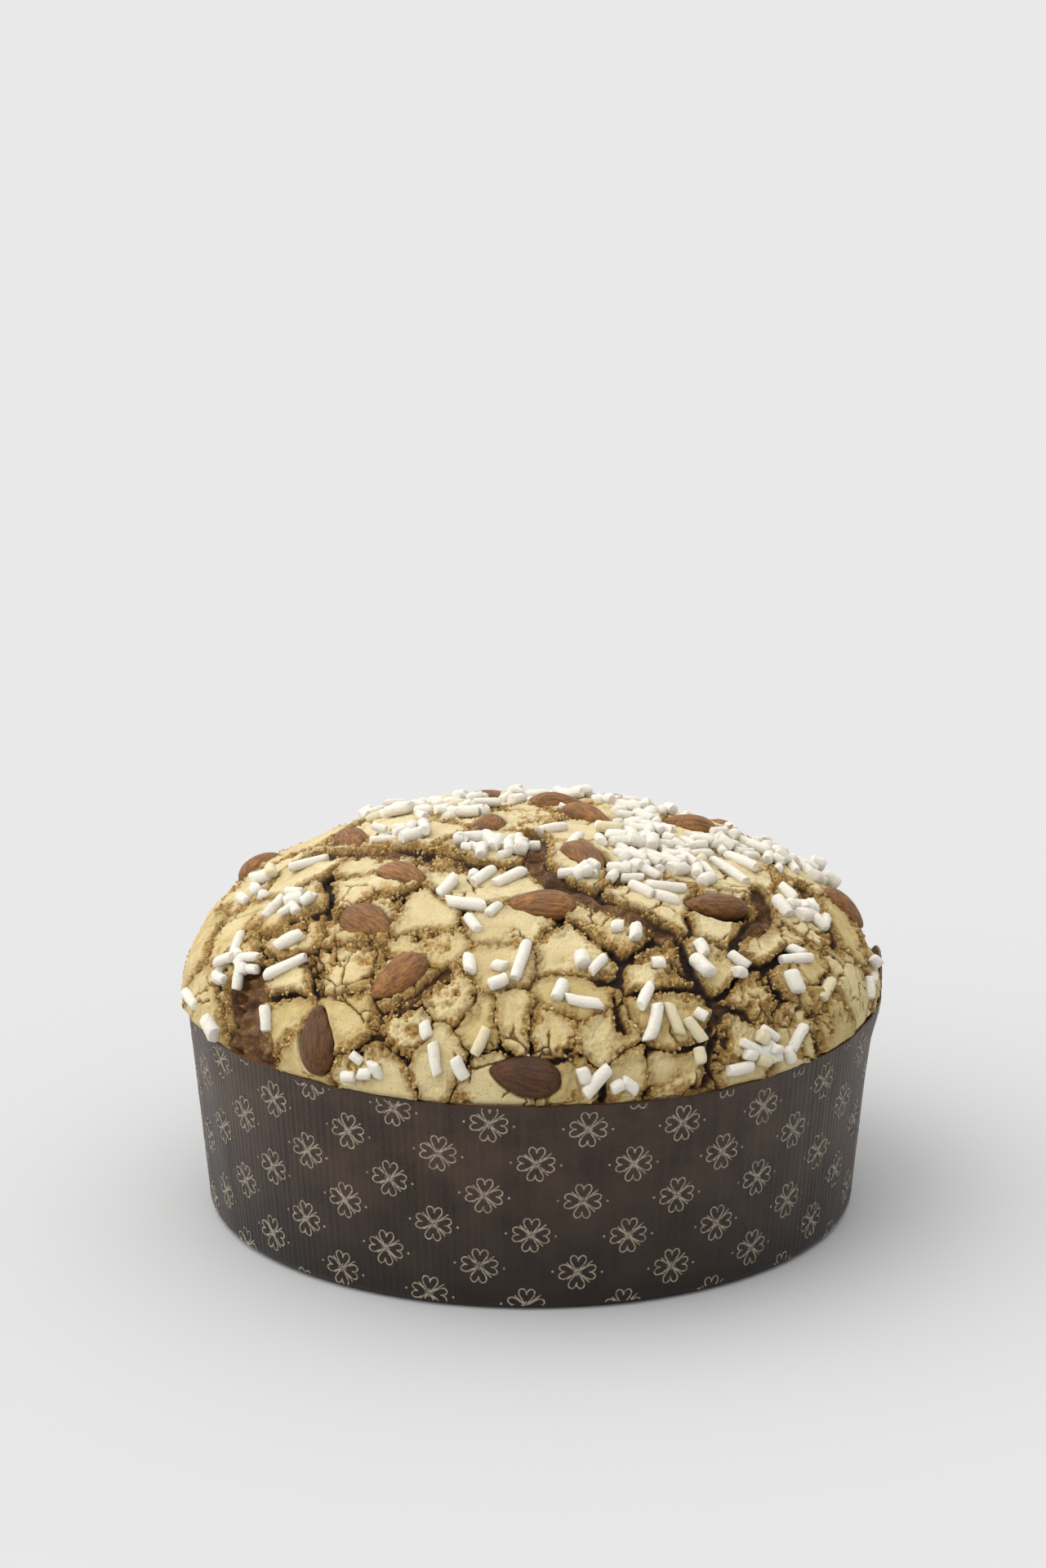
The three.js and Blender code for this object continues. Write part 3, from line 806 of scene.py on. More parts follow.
deselectAll()
bpy.ops.mesh.primitive_cone_add(
    vertices=side.around, radius1=side.foot / 1000, radius2=side.shoulder / 1000,
    depth=(side.top - side.bottom) / 1000,
    location=(0, 0, (side.top + side.bottom) / 2000),
)
bpy.ops.object.transform_apply(location=True, rotation=False, scale=False)
sidePiece = bpy.context.object
sidePiece.name = "icing_side"
editAll()
bpy.ops.mesh.bevel(offset=0.0015, segments=3, affect="EDGES", clamp_overlap=True)
leaveEdit()
dress(sidePiece, icingLook, "icing", "cake")


# almonds

def modelAlmond():
    deselectAll()
    bpy.ops.mesh.primitive_uv_sphere_add(
        segments=nut.around, ring_count=nut.rings, radius=1, location=(0, 0, 0),
        rotation=(0, math.radians(90), 0),
    )
    bpy.ops.object.transform_apply(location=False, rotation=True, scale=False)
    bpy.ops.object.shade_smooth()
    return bpy.context.object


def almondFinish():
    # an almond's skin: dry and brown, ribbed along the nut, with a dusty bloom on the ribs
    finish, tree, shader = newFinish("almondSkin", Roughness=0.55, Specular_IOR_Level=0.35)
    skin = addNode(tree, "ShaderNodeAttribute", attribute_name="skin").outputs["Vector"]
    stretched = addNode(
        tree, "ShaderNodeMapping", {"Vector": skin, "Scale": (0.12, 1.0, 1.0)}
    ).outputs["Vector"]
    ribs = addNode(
        tree, "ShaderNodeTexNoise", {"Vector": stretched, "Scale": 1.1, "Detail": 7.0, "Roughness": 0.72}
    ).outputs["Fac"]
    dust = addNode(
        tree, "ShaderNodeTexNoise", {"Vector": skin, "Scale": 2.6, "Detail": 5.0, "Roughness": 0.75}
    ).outputs["Fac"]
    patches = addNode(
        tree, "ShaderNodeTexNoise", {"Vector": skin, "Scale": 0.12, "Detail": 2.0}
    ).outputs["Fac"]
    veins = addNode(
        tree, "ShaderNodeMapRange",
        {"Value": ribs, "From Min": 0.4, "From Max": 0.6}, interpolation_type="SMOOTHSTEP",
    ).outputs["Result"]
    brown = addNode(
        tree, "ShaderNodeMixRGB",
        {"Fac": veins, "Color1": linear("#68401D"), "Color2": linear("#A06C34")},
    ).outputs["Color"]
    dusty = addNode(
        tree, "ShaderNodeMapRange",
        {"Value": dust, "From Min": 0.54, "From Max": 0.68, "To Max": 0.42},
    ).outputs["Result"]
    brown = addNode(
        tree, "ShaderNodeMixRGB",
        {"Fac": dusty, "Color1": brown, "Color2": linear("#C9A771")},
    ).outputs["Color"]
    darker = addNode(
        tree, "ShaderNodeMapRange",
        {"Value": patches, "From Min": 0.45, "From Max": 0.75, "To Max": 0.6},
    ).outputs["Result"]
    brown = addNode(
        tree, "ShaderNodeMixRGB",
        {"Fac": darker, "Color1": brown, "Color2": linear("#4F361C")},
    ).outputs["Color"]
    shade = addNode(tree, "ShaderNodeAttribute", attribute_name="shade").outputs["Fac"]
    brown = addNode(
        tree, "ShaderNodeMixRGB", {"Fac": shade, "Color1": brown, "Color2": linear("#8B7C76")},
        blend_type="MULTIPLY",
    ).outputs["Color"]
    tree.links.new(brown, shader.inputs["Base Color"])
    bump = addNode(tree, "ShaderNodeBump", {"Height": ribs, "Strength": 1.0, "Distance": 0.0007})
    tree.links.new(bump.outputs["Normal"], shader.inputs["Normal"])
    return finish


almondMaster = modelAlmond()
almondLook = almondFinish()
unitNut = readPoints(almondMaster.data)
for number, (place, along, across, normal, share) in enumerate(nuts):
    name = "almond_" + str(number + 1).zfill(2)
    piece = almondMaster.copy()
    piece.data = almondMaster.data.copy()
    bpy.context.scene.collection.objects.link(piece)
    piece.name = "nut_" + str(number + 1).zfill(2)
    x, y, z = unitNut.T
    narrow = nutWidth(x)
    around = np.arctan2(z, y)
    length, width = nut.length * share, nut.width * share
    ribCoords = np.stack([x * 0.8, np.cos(around) * 3, np.sin(around) * 3], 1) + 7.7 * number
    ribs = 1 + 0.022 * softNoise(ribCoords, 0.4) + 0.06 * softNoise(ribCoords, 2.2, 3.0)
    local = np.stack(
        [x * length / 2, y * narrow * ribs * width / 2, z * narrow * ribs * nut.thickness / 2], 1
    )
    writeValue(piece.data, "skin", local + 31.0 * number)
    writeValue(piece.data, "shade", np.full(len(local), darkAlmonds.get(number, 0.05)))
    turnedTo = np.stack([along, across, normal], 1)
    writePoints(piece.data, (local @ turnedTo.T + place) / 1000)
    dress(piece, almondLook, "almond", name)
bpy.data.objects.remove(almondMaster)


# pearl sugar

sugar = SimpleNamespace(
    radius=1.95, around=8, cuts=(-0.42, -0.15, 0.15, 0.42), proud=0.75, cream=0.05,
    inDrift=0.92, fat=1.25, fatShare=0.25, onOthers=1.3, lumpy=0.14,
)


def facesOf(piece):
    return [list(face.vertices) for face in piece.data.polygons]


def modelStick():
    deselectAll()
    bpy.ops.mesh.primitive_cylinder_add(
        vertices=sugar.around, radius=1, depth=1, end_fill_type="NGON", location=(0, 0, 0),
        rotation=(0, math.radians(90), 0),
    )
    bpy.ops.object.transform_apply(location=False, rotation=True, scale=False)
    piece = bpy.context.object
    editAll()
    for cut in sugar.cuts:
        bpy.ops.mesh.select_all(action="SELECT")
        bpy.ops.mesh.bisect(plane_co=(cut, 0, 0), plane_no=(1, 0, 0), use_fill=False)
    leaveEdit()
    points = readPoints(piece.data)
    faces = facesOf(piece)
    bpy.data.objects.remove(piece)
    return points, faces


def joinedMesh(name, pointSets, faces, sharpAngle):
    size = len(pointSets[0])
    allFaces = [[corner + k * size for corner in face] for k in range(len(pointSets)) for face in faces]
    piece = newPiece(name, np.concatenate(pointSets), allFaces)
    bpy.ops.object.shade_smooth_by_angle(angle=math.radians(sharpAngle))
    return piece


def axesAlong(along, normal):
    # the directions along a stick, across it, and up from the dome
    along = along / np.linalg.norm(along)
    across = np.cross(normal, along)
    across = across / np.linalg.norm(across)
    return along, across, np.cross(along, across)


def lumpiness(length, shift):
    stretched = stickPoints * np.array([length / 1.8, 1, 1])
    return 1 + sugar.lumpy * softNoise(stretched + shift, 0.8)


stickPoints, stickFaces = modelStick()
x, y, z = stickPoints.T
stickDraw = np.random.default_rng(21)
stickAzimuth, stickTilt, stickLength, stickTurn = np.array(sticks, dtype=float).T
stickMiddles = onDome(stickAzimuth, stickTilt)
stickNormal, stickDown, stickRound = axesAt(stickMiddles)
turnRadians = np.radians(stickTurn)[:, None]
stickAlong = stickDown * np.cos(turnRadians) + stickRound * np.sin(turnRadians)
ends = [backOnDome(stickMiddles + stickAlong * stickLength[:, None] * k) for k in (-0.35, 0, 0.35)]
endHeights = [np.maximum(reliefOf(end)[0], -0.8) for end in ends]
sticksMade = {"white": [], "cream": []}
for k, length in enumerate(stickLength):
    inDrift = k >= len(frontSticks)
    radius = sugar.radius * stickDraw.uniform(0.88, 1.12) * (sugar.inDrift if inDrift else 1)
    if 4.5 < length < 8.6 and stickDraw.random() < sugar.fatShare:
        radius *= sugar.fat
    normal = stickNormal[k]
    lowHeight, height, highHeight = [heights[k] for heights in endHeights]
    low = ends[0][k] + normal * lowHeight
    high = ends[2][k] + normal * highHeight
    middle = stickMiddles[k] + normal * max(height, (lowHeight + highHeight) / 2)
    along, across, out = axesAlong(high - low, normal)
    swollen = (1 - 0.2 * np.abs(2 * x) ** 9) * lumpiness(length, k) * radius
    bend = stickDraw.normal(0, 0.25) * (4 * x * x - 1) * length / 10
    slant = stickDraw.normal(0, 0.3) * np.abs(2 * x) ** 4
    local = (
        np.outer(x * length + slant * y * radius, along)
        + np.outer(y * swollen + bend, across)
        + np.outer(z * swollen, out)
    )
    onOthers = sugar.onOthers if inDrift and k % 5 == 0 else 0
    placed = local + middle + out * (sugar.proud + 0.8 * (radius - 1.8) + onOthers)
    isCream = k in creamSticks or (inDrift and stickDraw.random() < sugar.cream)
    sticksMade["cream" if isCream else "white"].append(placed)


# short lumps that fill each drift, some of them on top of others
lump = SimpleNamespace(
    share=0.32, reach=0.95, shortest=3.0, longest=5.6, radius=(1.4, 1.95),
    nutClear=9.5, rimClear=2.5, proud=0.7, onOthers=1.6, backDown=50,
)
lumpDraw = np.random.default_rng(77)
lumpDrifts = list(frontDrifts)
for _ in range(spread.backDrifts):
    azimuth = spread.backStart + spread.backTurn * lumpDraw.random()
    tilt = spread.backHighest + lump.backDown * lumpDraw.random()
    lumpDrifts.append((azimuth, tilt, *backDrift))
for azimuth, tilt, count, reach, _ in lumpDrifts:
    for _ in range(round(count * lump.share)):
        point = strewn(onDome(azimuth, tilt), reach * lump.reach, lumpDraw.random)
        inNut = nearest(point, almondPoints) < lump.nutClear
        if inNut or point[2] < dome.base + lump.rimClear:
            continue
        normal, ownDown, ownRound = axesAt(point)
        turn = lumpDraw.uniform(0, math.pi)
        tip = lumpDraw.normal(0, 0.25)
        along, across, out = axesAlong(
            ownDown * math.cos(turn) + ownRound * math.sin(turn) + normal * tip, normal
        )
        length = lumpDraw.uniform(lump.shortest, lump.longest)
        radius = lumpDraw.uniform(*lump.radius)
        swollen = (1 - 0.16 * np.abs(2 * x) ** 8) * lumpiness(length, 9 * length) * radius
        ground = max(reliefOf(point[None])[0][0], -1.5)
        onOthers = lump.onOthers if nearest(point, stickMiddles) < 2.6 else 0
        sticksMade["white"].append(
            np.outer(x * length, along) + np.outer(y * swollen, across) + np.outer(z * swollen, out)
            + point + normal * (ground + lump.proud + onOthers)
        )


def sugarFinish(name, colour):
    # pressed sugar: chalk white and matte, light goes a little way into it
    finish, tree, shader = newFinish(
        name, Roughness=0.75, Subsurface_Weight=0.15, Subsurface_Scale=0.001
    )
    shader.inputs["Base Color"].default_value = linear(colour)
    place = addNode(tree, "ShaderNodeTexCoord").outputs["Object"]
    grit = addNode(
        tree, "ShaderNodeTexNoise",
        {"Vector": place, "Scale": 800.0, "Detail": 5.0, "Roughness": 0.75},
    ).outputs["Fac"]
    bump = addNode(tree, "ShaderNodeBump", {"Height": grit, "Strength": 1.0, "Distance": 0.0009})
    tree.links.new(bump.outputs["Normal"], shader.inputs["Normal"])
    return finish


for kind, colour in (("white", "#EAE4D6"), ("cream", "#DED2AE")):
    piece = joinedMesh("sugar_" + kind, sticksMade[kind], stickFaces, 60)
    dress(piece, sugarFinish("pearlSugar" + kind.title(), colour), "icing", "cake")


# loose crumbs along the broken edges
crumbs = SimpleNamespace(count=15000, tries=110000, smallest=0.26, largest=0.8, sink=0.1)


def scatterCrumbs():
    deselectAll()
    bpy.ops.mesh.primitive_cube_add(size=1.2, location=(0, 0, 0))
    master = bpy.context.object
    unit = readPoints(master.data)
    faces = facesOf(master)
    bpy.data.objects.remove(master)
    chance = np.random.default_rng(33)
    azimuth = chance.uniform(-180, 180, crumbs.tries)
    tilt = np.degrees(np.arccos(1 - chance.random(crumbs.tries) * 0.99))
    points = onDome(azimuth, tilt)
    height, push, _, marks = reliefOf(points)
    atEdge = (marks["edge"] > -0.3) & (marks["edge"] < 1.5) & (marks["bare"] < 0.1)
    atEdge = atEdge & (softNoise(points, 4, 70.0) > 0.3 * chance.normal(size=crumbs.tries))
    inPatch = (marks["rough"] > 0.7) & (chance.random(crumbs.tries) < 0.6)
    wanted = (atEdge | inPatch) & (points[:, 2] > 70) & (height > -2.2)
    kept = np.nonzero(wanted)[0][:crumbs.count]
    normal, _, _ = axesAt(points[kept])
    centres = points[kept] + normal * (height[kept] - crumbs.sink)[:, None] + push[kept]
    span = crumbs.largest - crumbs.smallest
    sizes = crumbs.smallest + span * chance.random(len(kept)) ** 2.2
    made = []
    for centre, size in zip(centres, sizes):
        turn, _ = np.linalg.qr(chance.normal(size=(3, 3)))
        turn *= np.sign(np.linalg.det(turn))
        grainPoints = unit * chance.uniform(0.6, 1.3, (len(unit), 1)) * chance.uniform(0.7, 1.3, 3)
        made.append(size * grainPoints @ turn.T + centre)
    return made, faces


def crumbFinish():
    # crumbs of the icing's broken inside: dry and golden
    finish, tree, shader = newFinish("icingCrumb", Roughness=0.85)
    place = addNode(tree, "ShaderNodeTexCoord").outputs["Object"]
    tone = addNode(
        tree, "ShaderNodeTexNoise", {"Vector": place, "Scale": 330.0, "Detail": 2.0}
    ).outputs["Fac"]
    share = addNode(
        tree, "ShaderNodeMapRange", {"Value": tone, "From Min": 0.35, "From Max": 0.65}
    ).outputs["Result"]
    colour = addNode(
        tree, "ShaderNodeMixRGB",
        {"Fac": share, "Color1": linear("#98733A"), "Color2": linear("#C4AC74")},
    ).outputs["Color"]
    tree.links.new(colour, shader.inputs["Base Color"])
    return finish


crumbSets, crumbFaces = scatterCrumbs()
crumbPiece = joinedMesh("icing_crumbs", crumbSets, crumbFaces, 30)
dress(crumbPiece, crumbFinish(), "icing", "cake")


# the paper mould

mould = SimpleNamespace(
    baseRadius=105.0, midRadius=108, rimRadius=111.3, height=68.0, paper=0.9,
    foot=2.5, around=1440, rows=15, flutes=289, fluteDepth=0.09, rimWave=0.5,
    rimBand=16, flapAzimuth=4.0, flapHalf=9.0, flapHeight=12.0, flapLean=3.0,
    leanHalf=22.0,
)
mouldSlope = (mould.rimRadius - mould.baseRadius) / mould.height


def paperRelief(azimuth, height):
    # flutes of the pressed paper, never quite even, and a slow buckle of the wall
    x, y = mould.midRadius * np.cos(azimuth), mould.midRadius * np.sin(azimuth)
    steady = np.stack([x, y, 0.02 * height], 1)
    flutes = np.sin(mould.flutes * azimuth + 2.5 * softNoise(steady, 14, 2.0))
    strength = 0.6 + 0.7 * softNoise(steady, 17, 5.0)
    streaks = softNoise(steady, 1.1, 9.0)
    buckle = softNoise(np.stack([x, y, 0.6 * height], 1), 38, 3.0)
    return mould.fluteDepth * (flutes * strength + 0.6 * streaks) + 0.25 * buckle


def flapShare(azimuth, half):
    # 1 in the middle of the flap, falling to 0 at an angle of half, in degrees, on each side
    turn = np.mod(np.degrees(azimuth) - mould.flapAzimuth + 180, 360) - 180
    return np.cos(np.minimum(np.abs(turn) / half, 1) * math.pi / 2)


def rimShare(level):
    return eased(level, mould.height - mould.rimBand, mould.height)


def wallSwell(azimuth, level):
    # how far the paper stands out from its plain cone
    lean = mould.flapLean * flapShare(azimuth, mould.leanHalf)
    return eased(level, 0.5, 5) * paperRelief(azimuth, level) + rimShare(level) * lean


def shapeMould():
    # a disc extruded up its wall, over the rim and down inside
    deselectAll()
    bpy.ops.mesh.primitive_circle_add(
        vertices=mould.around, radius=(mould.baseRadius - mould.foot) / 1000,
        fill_type="TRIFAN", location=(0, 0, 0),
    )
    piece = bpy.context.object
    editAll()
    bpy.ops.mesh.flip_normals()
    bpy.ops.mesh.select_mode(type="EDGE")
    bpy.ops.mesh.select_non_manifold(extend=False)
    base, rim, height = mould.baseRadius, mould.rimRadius, mould.height
    wall = [(base + mouldSlope * z, z) for z in np.linspace(mould.foot, height, mould.rows)]
    inside = mould.paper
    profile = [
        (base - 1.5, 0.35), (base - 0.5, 1.2), *wall, (rim - 0.3, height + 0.12),
        (rim - 0.65, height + 0.12), (rim - inside, height - 0.1), (rim - inside - 0.5, height - 5),
        (base - inside, 4), (base - 3.2, inside),
    ]
    radius, level = mould.baseRadius - mould.foot, 0.0
    for newRadius, newLevel in profile:
        bpy.ops.mesh.extrude_edges_move(
            TRANSFORM_OT_translate={"value": (0, 0, (newLevel - level) / 1000)}
        )
        ratio = newRadius / radius
        bpy.ops.transform.resize(
            value=(ratio, ratio, 1), center_override=(0, 0, newLevel / 1000)
        )
        radius, level = newRadius, newLevel
    bpy.ops.mesh.edge_face_add()
    leaveEdit()
    return piece


def bendMould(piece):
    mesh = piece.data
    points = readPoints(mesh) * 1000
    azimuth = np.arctan2(points[:, 1], points[:, 0])
    radius = np.hypot(points[:, 0], points[:, 1])
    level = points[:, 2].copy()
    onWall = (radius > mould.baseRadius - 2) & (level > 0.5)
    radius = radius + onWall * wallSwell(azimuth, level)
    wave = mould.rimWave * np.sin(5 * azimuth + 1) * np.cos(3 * azimuth)
    flap = flapShare(azimuth, mould.flapHalf)
    tatter = 0.5 * softNoise(np.outer(40 * azimuth, (1, 0, 0)), 1.0)
    nibble = 0.12 * softNoise(np.outer(110 * azimuth, (1, 0, 0)), 0.8, 4.0)
    rise = (mould.flapHeight + tatter) * flap + wave * (1 - flap) + nibble
    points = np.stack(
        [radius * np.cos(azimuth), radius * np.sin(azimuth), level + onWall * rimShare(level) * rise], 1
    )
    points[radius < 1, :2] = 0
    writePoints(mesh, points / 1000)
    writeValue(mesh, "wrap", np.stack([azimuth * mould.midRadius, level, 0 * level], 1))
    wallRadius = mould.baseRadius + mouldSlope * level
    inside = (level > 30) & (radius < wallRadius - 0.45)
    writeValue(mesh, "cutEdge", np.maximum(eased(level, mould.height, mould.height + 0.1), inside))


def paperFinish():
    # pressed baking paper, dark brown right through, with a satin face and streaks along its flutes
    finish, tree, shader = newFinish("brownBakingPaper", Roughness=0.36, Specular_IOR_Level=0.32)
    wrap = addNode(tree, "ShaderNodeAttribute", attribute_name="wrap").outputs["Vector"]
    streaky = addNode(
        tree, "ShaderNodeMapping", {"Vector": wrap, "Scale": (1.0, 0.03, 1.0)}
    ).outputs["Vector"]
    streaks = addNode(
        tree, "ShaderNodeTexNoise", {"Vector": streaky, "Scale": 0.45, "Detail": 5.0}
    ).outputs["Fac"]
    cloudy = addNode(
        tree, "ShaderNodeTexNoise", {"Vector": wrap, "Scale": 0.045, "Detail": 6.0, "Roughness": 0.6}
    ).outputs["Fac"]
    fibre = addNode(
        tree, "ShaderNodeTexNoise", {"Vector": wrap, "Scale": 1.6, "Detail": 4.0}
    ).outputs["Fac"]
    share = addNode(
        tree, "ShaderNodeMapRange",
        {"Value": streaks, "From Min": 0.38, "From Max": 0.66}, interpolation_type="SMOOTHSTEP",
    ).outputs["Result"]
    colour = addNode(
        tree, "ShaderNodeMixRGB",
        {"Fac": share, "Color1": linear("#241912"), "Color2": linear("#33251C")},
    ).outputs["Color"]
    clouds = addNode(
        tree, "ShaderNodeMapRange",
        {"Value": cloudy, "From Min": 0.42, "From Max": 0.62, "To Max": 0.9},
    ).outputs["Result"]
    colour = addNode(
        tree, "ShaderNodeMixRGB", {"Fac": clouds, "Color1": colour, "Color2": linear("#433327")}
    ).outputs["Color"]
    grainy = addNode(
        tree, "ShaderNodeMapRange",
        {"Value": fibre, "From Min": 0.42, "From Max": 0.66, "To Max": 0.5},
    ).outputs["Result"]
    colour = addNode(
        tree, "ShaderNodeMixRGB", {"Fac": grainy, "Color1": colour, "Color2": linear("#473729")}
    ).outputs["Color"]
    height = addNode(tree, "ShaderNodeSeparateXYZ", {"Vector": wrap}).outputs["Y"]
    # painted shade: the paper darkens to near black towards its foot
    low = addNode(
        tree, "ShaderNodeMapRange",
        {"Value": height, "From Min": 4.0, "From Max": 50.0, "To Min": 0.75, "To Max": 0.0},
    ).outputs["Result"]
    colour = addNode(
        tree, "ShaderNodeMixRGB", {"Fac": low, "Color1": colour, "Color2": linear("#15110F")}
    ).outputs["Color"]
    cut = addNode(tree, "ShaderNodeAttribute", attribute_name="cutEdge").outputs["Fac"]
    colour = addNode(
        tree, "ShaderNodeMixRGB", {"Fac": cut, "Color1": colour, "Color2": linear("#6B4526")}
    ).outputs["Color"]
    tree.links.new(colour, shader.inputs["Base Color"])
    rough = addNode(
        tree, "ShaderNodeMapRange",
        {"Value": fibre, "From Min": 0.3, "From Max": 0.7, "To Min": 0.3, "To Max": 0.42},
    ).outputs["Result"]
    tree.links.new(rough, shader.inputs["Roughness"])
    bump = addNode(tree, "ShaderNodeBump", {"Height": fibre, "Strength": 0.7, "Distance": 0.0003})
    tree.links.new(bump.outputs["Normal"], shader.inputs["Normal"])
    return finish


mouldPiece = shapeMould()
bendMould(mouldPiece)
mouldPiece.name = "mould_paper"
selectOnly(mouldPiece)
bpy.ops.object.shade_smooth_by_angle(angle=math.radians(50))
dress(mouldPiece, paperFinish(), "paper", "paper_mould")


# the print: four-leaf clovers in thin lines, on a flat sheet that is then rolled into the cone

clover = SimpleNamespace(
    line=0.46, across=15.0, up=11.95, firstRow=11.1, straightAt=-50.0,
    proud=0.07, dotAway=7.6, dot=0.42, notchDot=0.3, notch=3.8,
    rays=[(41, 5.9), (-42, 5.3), (139, 4.8), (-140, 3.9)],  # direction, length
    ticks=1.5,
)
# half of a heart-shaped leaf, from the middle out and back in to its notch: across, out
halfLeaf = [
    (0.25, 0.35), (0.75, 1.1), (1.45, 2.15), (2.1, 3.15), (2.45, 4.1), (2.3, 5.0), (1.8, 5.5),
    (1.15, 5.55), (0.6, 5.2), (0.22, 4.65), (0.05, 4.15), (0, 3.8),
]
coneSine = math.sin(math.atan(mouldSlope))
coneReach = mould.baseRadius / coneSine


def smoothRun(corners, steps):
    # a curve through the corners
    corners = np.array(corners)
    padded = np.vstack([2 * corners[0] - corners[1], corners, 2 * corners[-1] - corners[-2]])
    run = []
    for a, b, c, d in zip(padded, padded[1:], padded[2:], padded[3:]):
        for k in range(steps):
            t = k / steps
            run.append(
                0.5 * (2 * b + (c - a) * t + (2 * a - 5 * b + 4 * c - d) * t * t
                       + (3 * b - a - 3 * c + d) * t ** 3)
            )
    return np.array(run + [corners[-1]])


def ringRun(x, y, radius):
    t = np.linspace(0, 2 * math.pi, 9)
    return np.stack([x + radius * np.cos(t), y + radius * np.sin(t)], 1)


def cloverLines():
    # each line is its width and a run of points on the flat sheet
    thin = clover.line
    half = smoothRun(halfLeaf, 2)
    lines = []
    for quarter in range(4):
        a = quarter * math.pi / 2
        turn = np.array([[math.cos(a), math.sin(a)], [-math.sin(a), math.cos(a)]])
        for flip in (-1, 1):
            lines.append((thin, half * np.array([flip, 1]) @ turn))
        radius = clover.notchDot
        lines.append((radius, ringRun(0, clover.notch, radius / 2) @ turn))
        lines.append((thin * 0.7, np.array([[0, 0.2], [0, clover.ticks]]) @ turn))
    for direction, length in clover.rays:
        b = math.radians(direction)
        ray = np.array([[math.cos(b), math.sin(b)]])
        lines.append((thin * 0.85, np.linspace(0.3, length, 5)[:, None] * ray))
    for flip in (-1, 1):
        lines.append((clover.dot, ringRun(flip * clover.dotAway, 0, clover.dot / 2)))
    return lines


def rollOnWall(flat):
    # the flat sheet's (across, up) to the wall's azimuth and height
    reach = np.hypot(flat[:, 0], coneReach + flat[:, 1])
    angle = np.arctan2(flat[:, 0], coneReach + flat[:, 1]) / coneSine
    azimuth = math.radians(clover.straightAt) + angle
    return azimuth, (reach - coneReach) * math.cos(math.atan(mouldSlope))


def onPaper(azimuth, level):
    # places on the wall, a little proud of the paper
    radius = mould.baseRadius + mouldSlope * level + wallSwell(azimuth, level) + clover.proud
    return np.stack([radius * np.cos(azimuth), radius * np.sin(azimuth), level], 1)


def printClovers():
    lines = cloverLines()
    points, faces = [], []
    seam = math.radians(mould.flapAzimuth)
    for column, row in itertools.product(range(-37, 8), range(-15, 8)):
        middle = np.array([column * clover.across, clover.firstRow + row * clover.up])
        azimuth, level = rollOnWall(middle[None])
        inTurn = seam - 2 * math.pi - 0.06 < azimuth[0] < seam + 0.06
        if (column + row) % 2 or not inTurn or not -9 < level[0] < mould.height + 9:
            continue
        for width, line in lines:
            run = middle + line
            ahead = np.gradient(run, axis=0)
            side = np.stack([-ahead[:, 1], ahead[:, 0]], 1)
            side *= width / 2 / np.linalg.norm(side, axis=1, keepdims=True)
            azimuth, level = rollOnWall(np.concatenate([run + side, run - side]))
            shown = (
                (level > 1.4) & (level < mould.height - 0.7)
                & (azimuth < seam) & (azimuth > seam - 2 * math.pi)
            )
            count, first = len(run), len(points)
            points.extend(onPaper(azimuth, level))
            for k in range(count - 1):
                corners = [k, k + 1, count + k + 1, count + k]
                if shown[corners].all():
                    faces.append([first + c for c in corners])
    return np.array(points), faces


def printFinish():
    # thin grey-beige ink, darker where it has worn
    finish, tree, shader = newFinish("paleInk", Roughness=0.45)
    place = addNode(tree, "ShaderNodeTexCoord").outputs["Object"]
    worn = addNode(
        tree, "ShaderNodeTexNoise", {"Vector": place, "Scale": 900.0, "Detail": 3.0}
    ).outputs["Fac"]
    share = addNode(
        tree, "ShaderNodeMapRange", {"Value": worn, "From Min": 0.35, "From Max": 0.6}
    ).outputs["Result"]
    colour = addNode(
        tree, "ShaderNodeMixRGB",
        {"Fac": share, "Color1": linear("#665C50"), "Color2": linear("#998D79")},
    ).outputs["Color"]
    tree.links.new(colour, shader.inputs["Base Color"])
    return finish


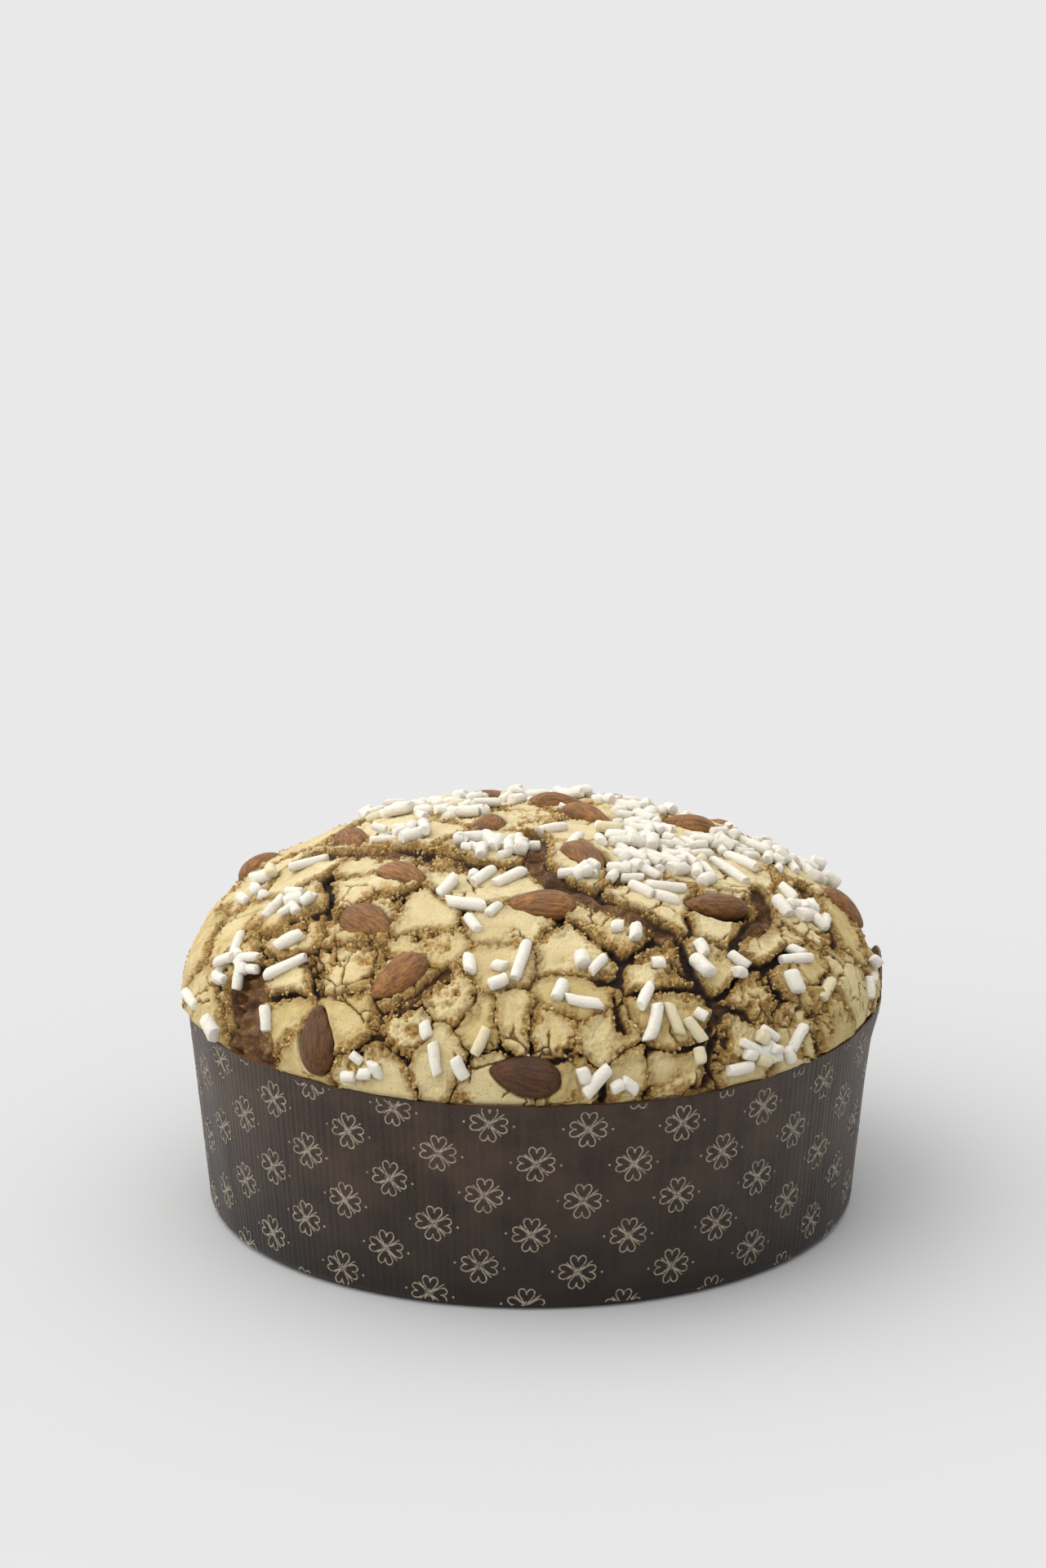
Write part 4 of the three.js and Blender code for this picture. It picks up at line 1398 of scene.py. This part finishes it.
inkPoints, inkFaces = printClovers()
inkPiece = newPiece("mould_print", inkPoints, inkFaces)
editAll()
bpy.ops.mesh.delete_loose()
leaveEdit()
dress(inkPiece, printFinish(), "paper", "paper_mould")


# floor and light
studio = SimpleNamespace(
    floor="#BBBBBB", overhead=1.95, sides=1.05, dim=0.5, sun=1.2, sunAngle=80,
    brightSide=(-0.93, 0.37, 0),  # the left of the room is the brightest
    sunTurn=(8, -50),  # tips the light's face to the front, then to the left
)

deselectAll()
bpy.ops.mesh.primitive_plane_add(size=60, location=(0, 0, -0.0002))
floor = bpy.context.object
floor.name = "studio_floor"
floorFinish, _, floorShader = newFinish(
    "paintedFloor", Roughness=0.9, Specular_IOR_Level=0.0
)
floorShader.inputs["Base Color"].default_value = linear(studio.floor)
floor.data.materials.append(floorFinish)

world = bpy.data.worlds.new("softRoom")
bpy.context.scene.world = world
world.use_nodes = True
sky = world.node_tree
skyBackground = sky.nodes["Background"]
skyBackground.inputs["Color"].default_value = (1, 1, 1, 1)
skyPlace = addNode(sky, "ShaderNodeTexCoord").outputs["Generated"]
skyParts = addNode(sky, "ShaderNodeSeparateXYZ", {"Vector": skyPlace}).outputs
skyRise = addNode(
    sky, "ShaderNodeMapRange",
    {"Value": skyParts["Z"], "From Min": 0.3, "From Max": 0.9,
     "To Min": studio.sides, "To Max": studio.overhead},
    interpolation_type="SMOOTHSTEP",
).outputs["Result"]
skyTowards = addNode(
    sky, "ShaderNodeVectorMath", {0: skyPlace, 1: studio.brightSide}, operation="DOT_PRODUCT"
).outputs["Value"]
skyFront = addNode(
    sky, "ShaderNodeMapRange",
    {"Value": skyTowards, "From Min": -0.9, "From Max": 0.15, "To Min": studio.dim},
    interpolation_type="SMOOTHSTEP",
).outputs["Result"]
skyStrength = addNode(
    sky, "ShaderNodeMath", {0: skyRise, 1: skyFront}, operation="MULTIPLY"
).outputs[0]
sky.links.new(skyStrength, skyBackground.inputs["Strength"])
bpy.ops.object.light_add(type="SUN", rotation=(*np.radians(studio.sunTurn), 0))
sun = bpy.context.object
sun.data.energy = studio.sun
sun.data.angle = math.radians(studio.sunAngle)
bpy.context.scene.view_settings.view_transform = "Standard"
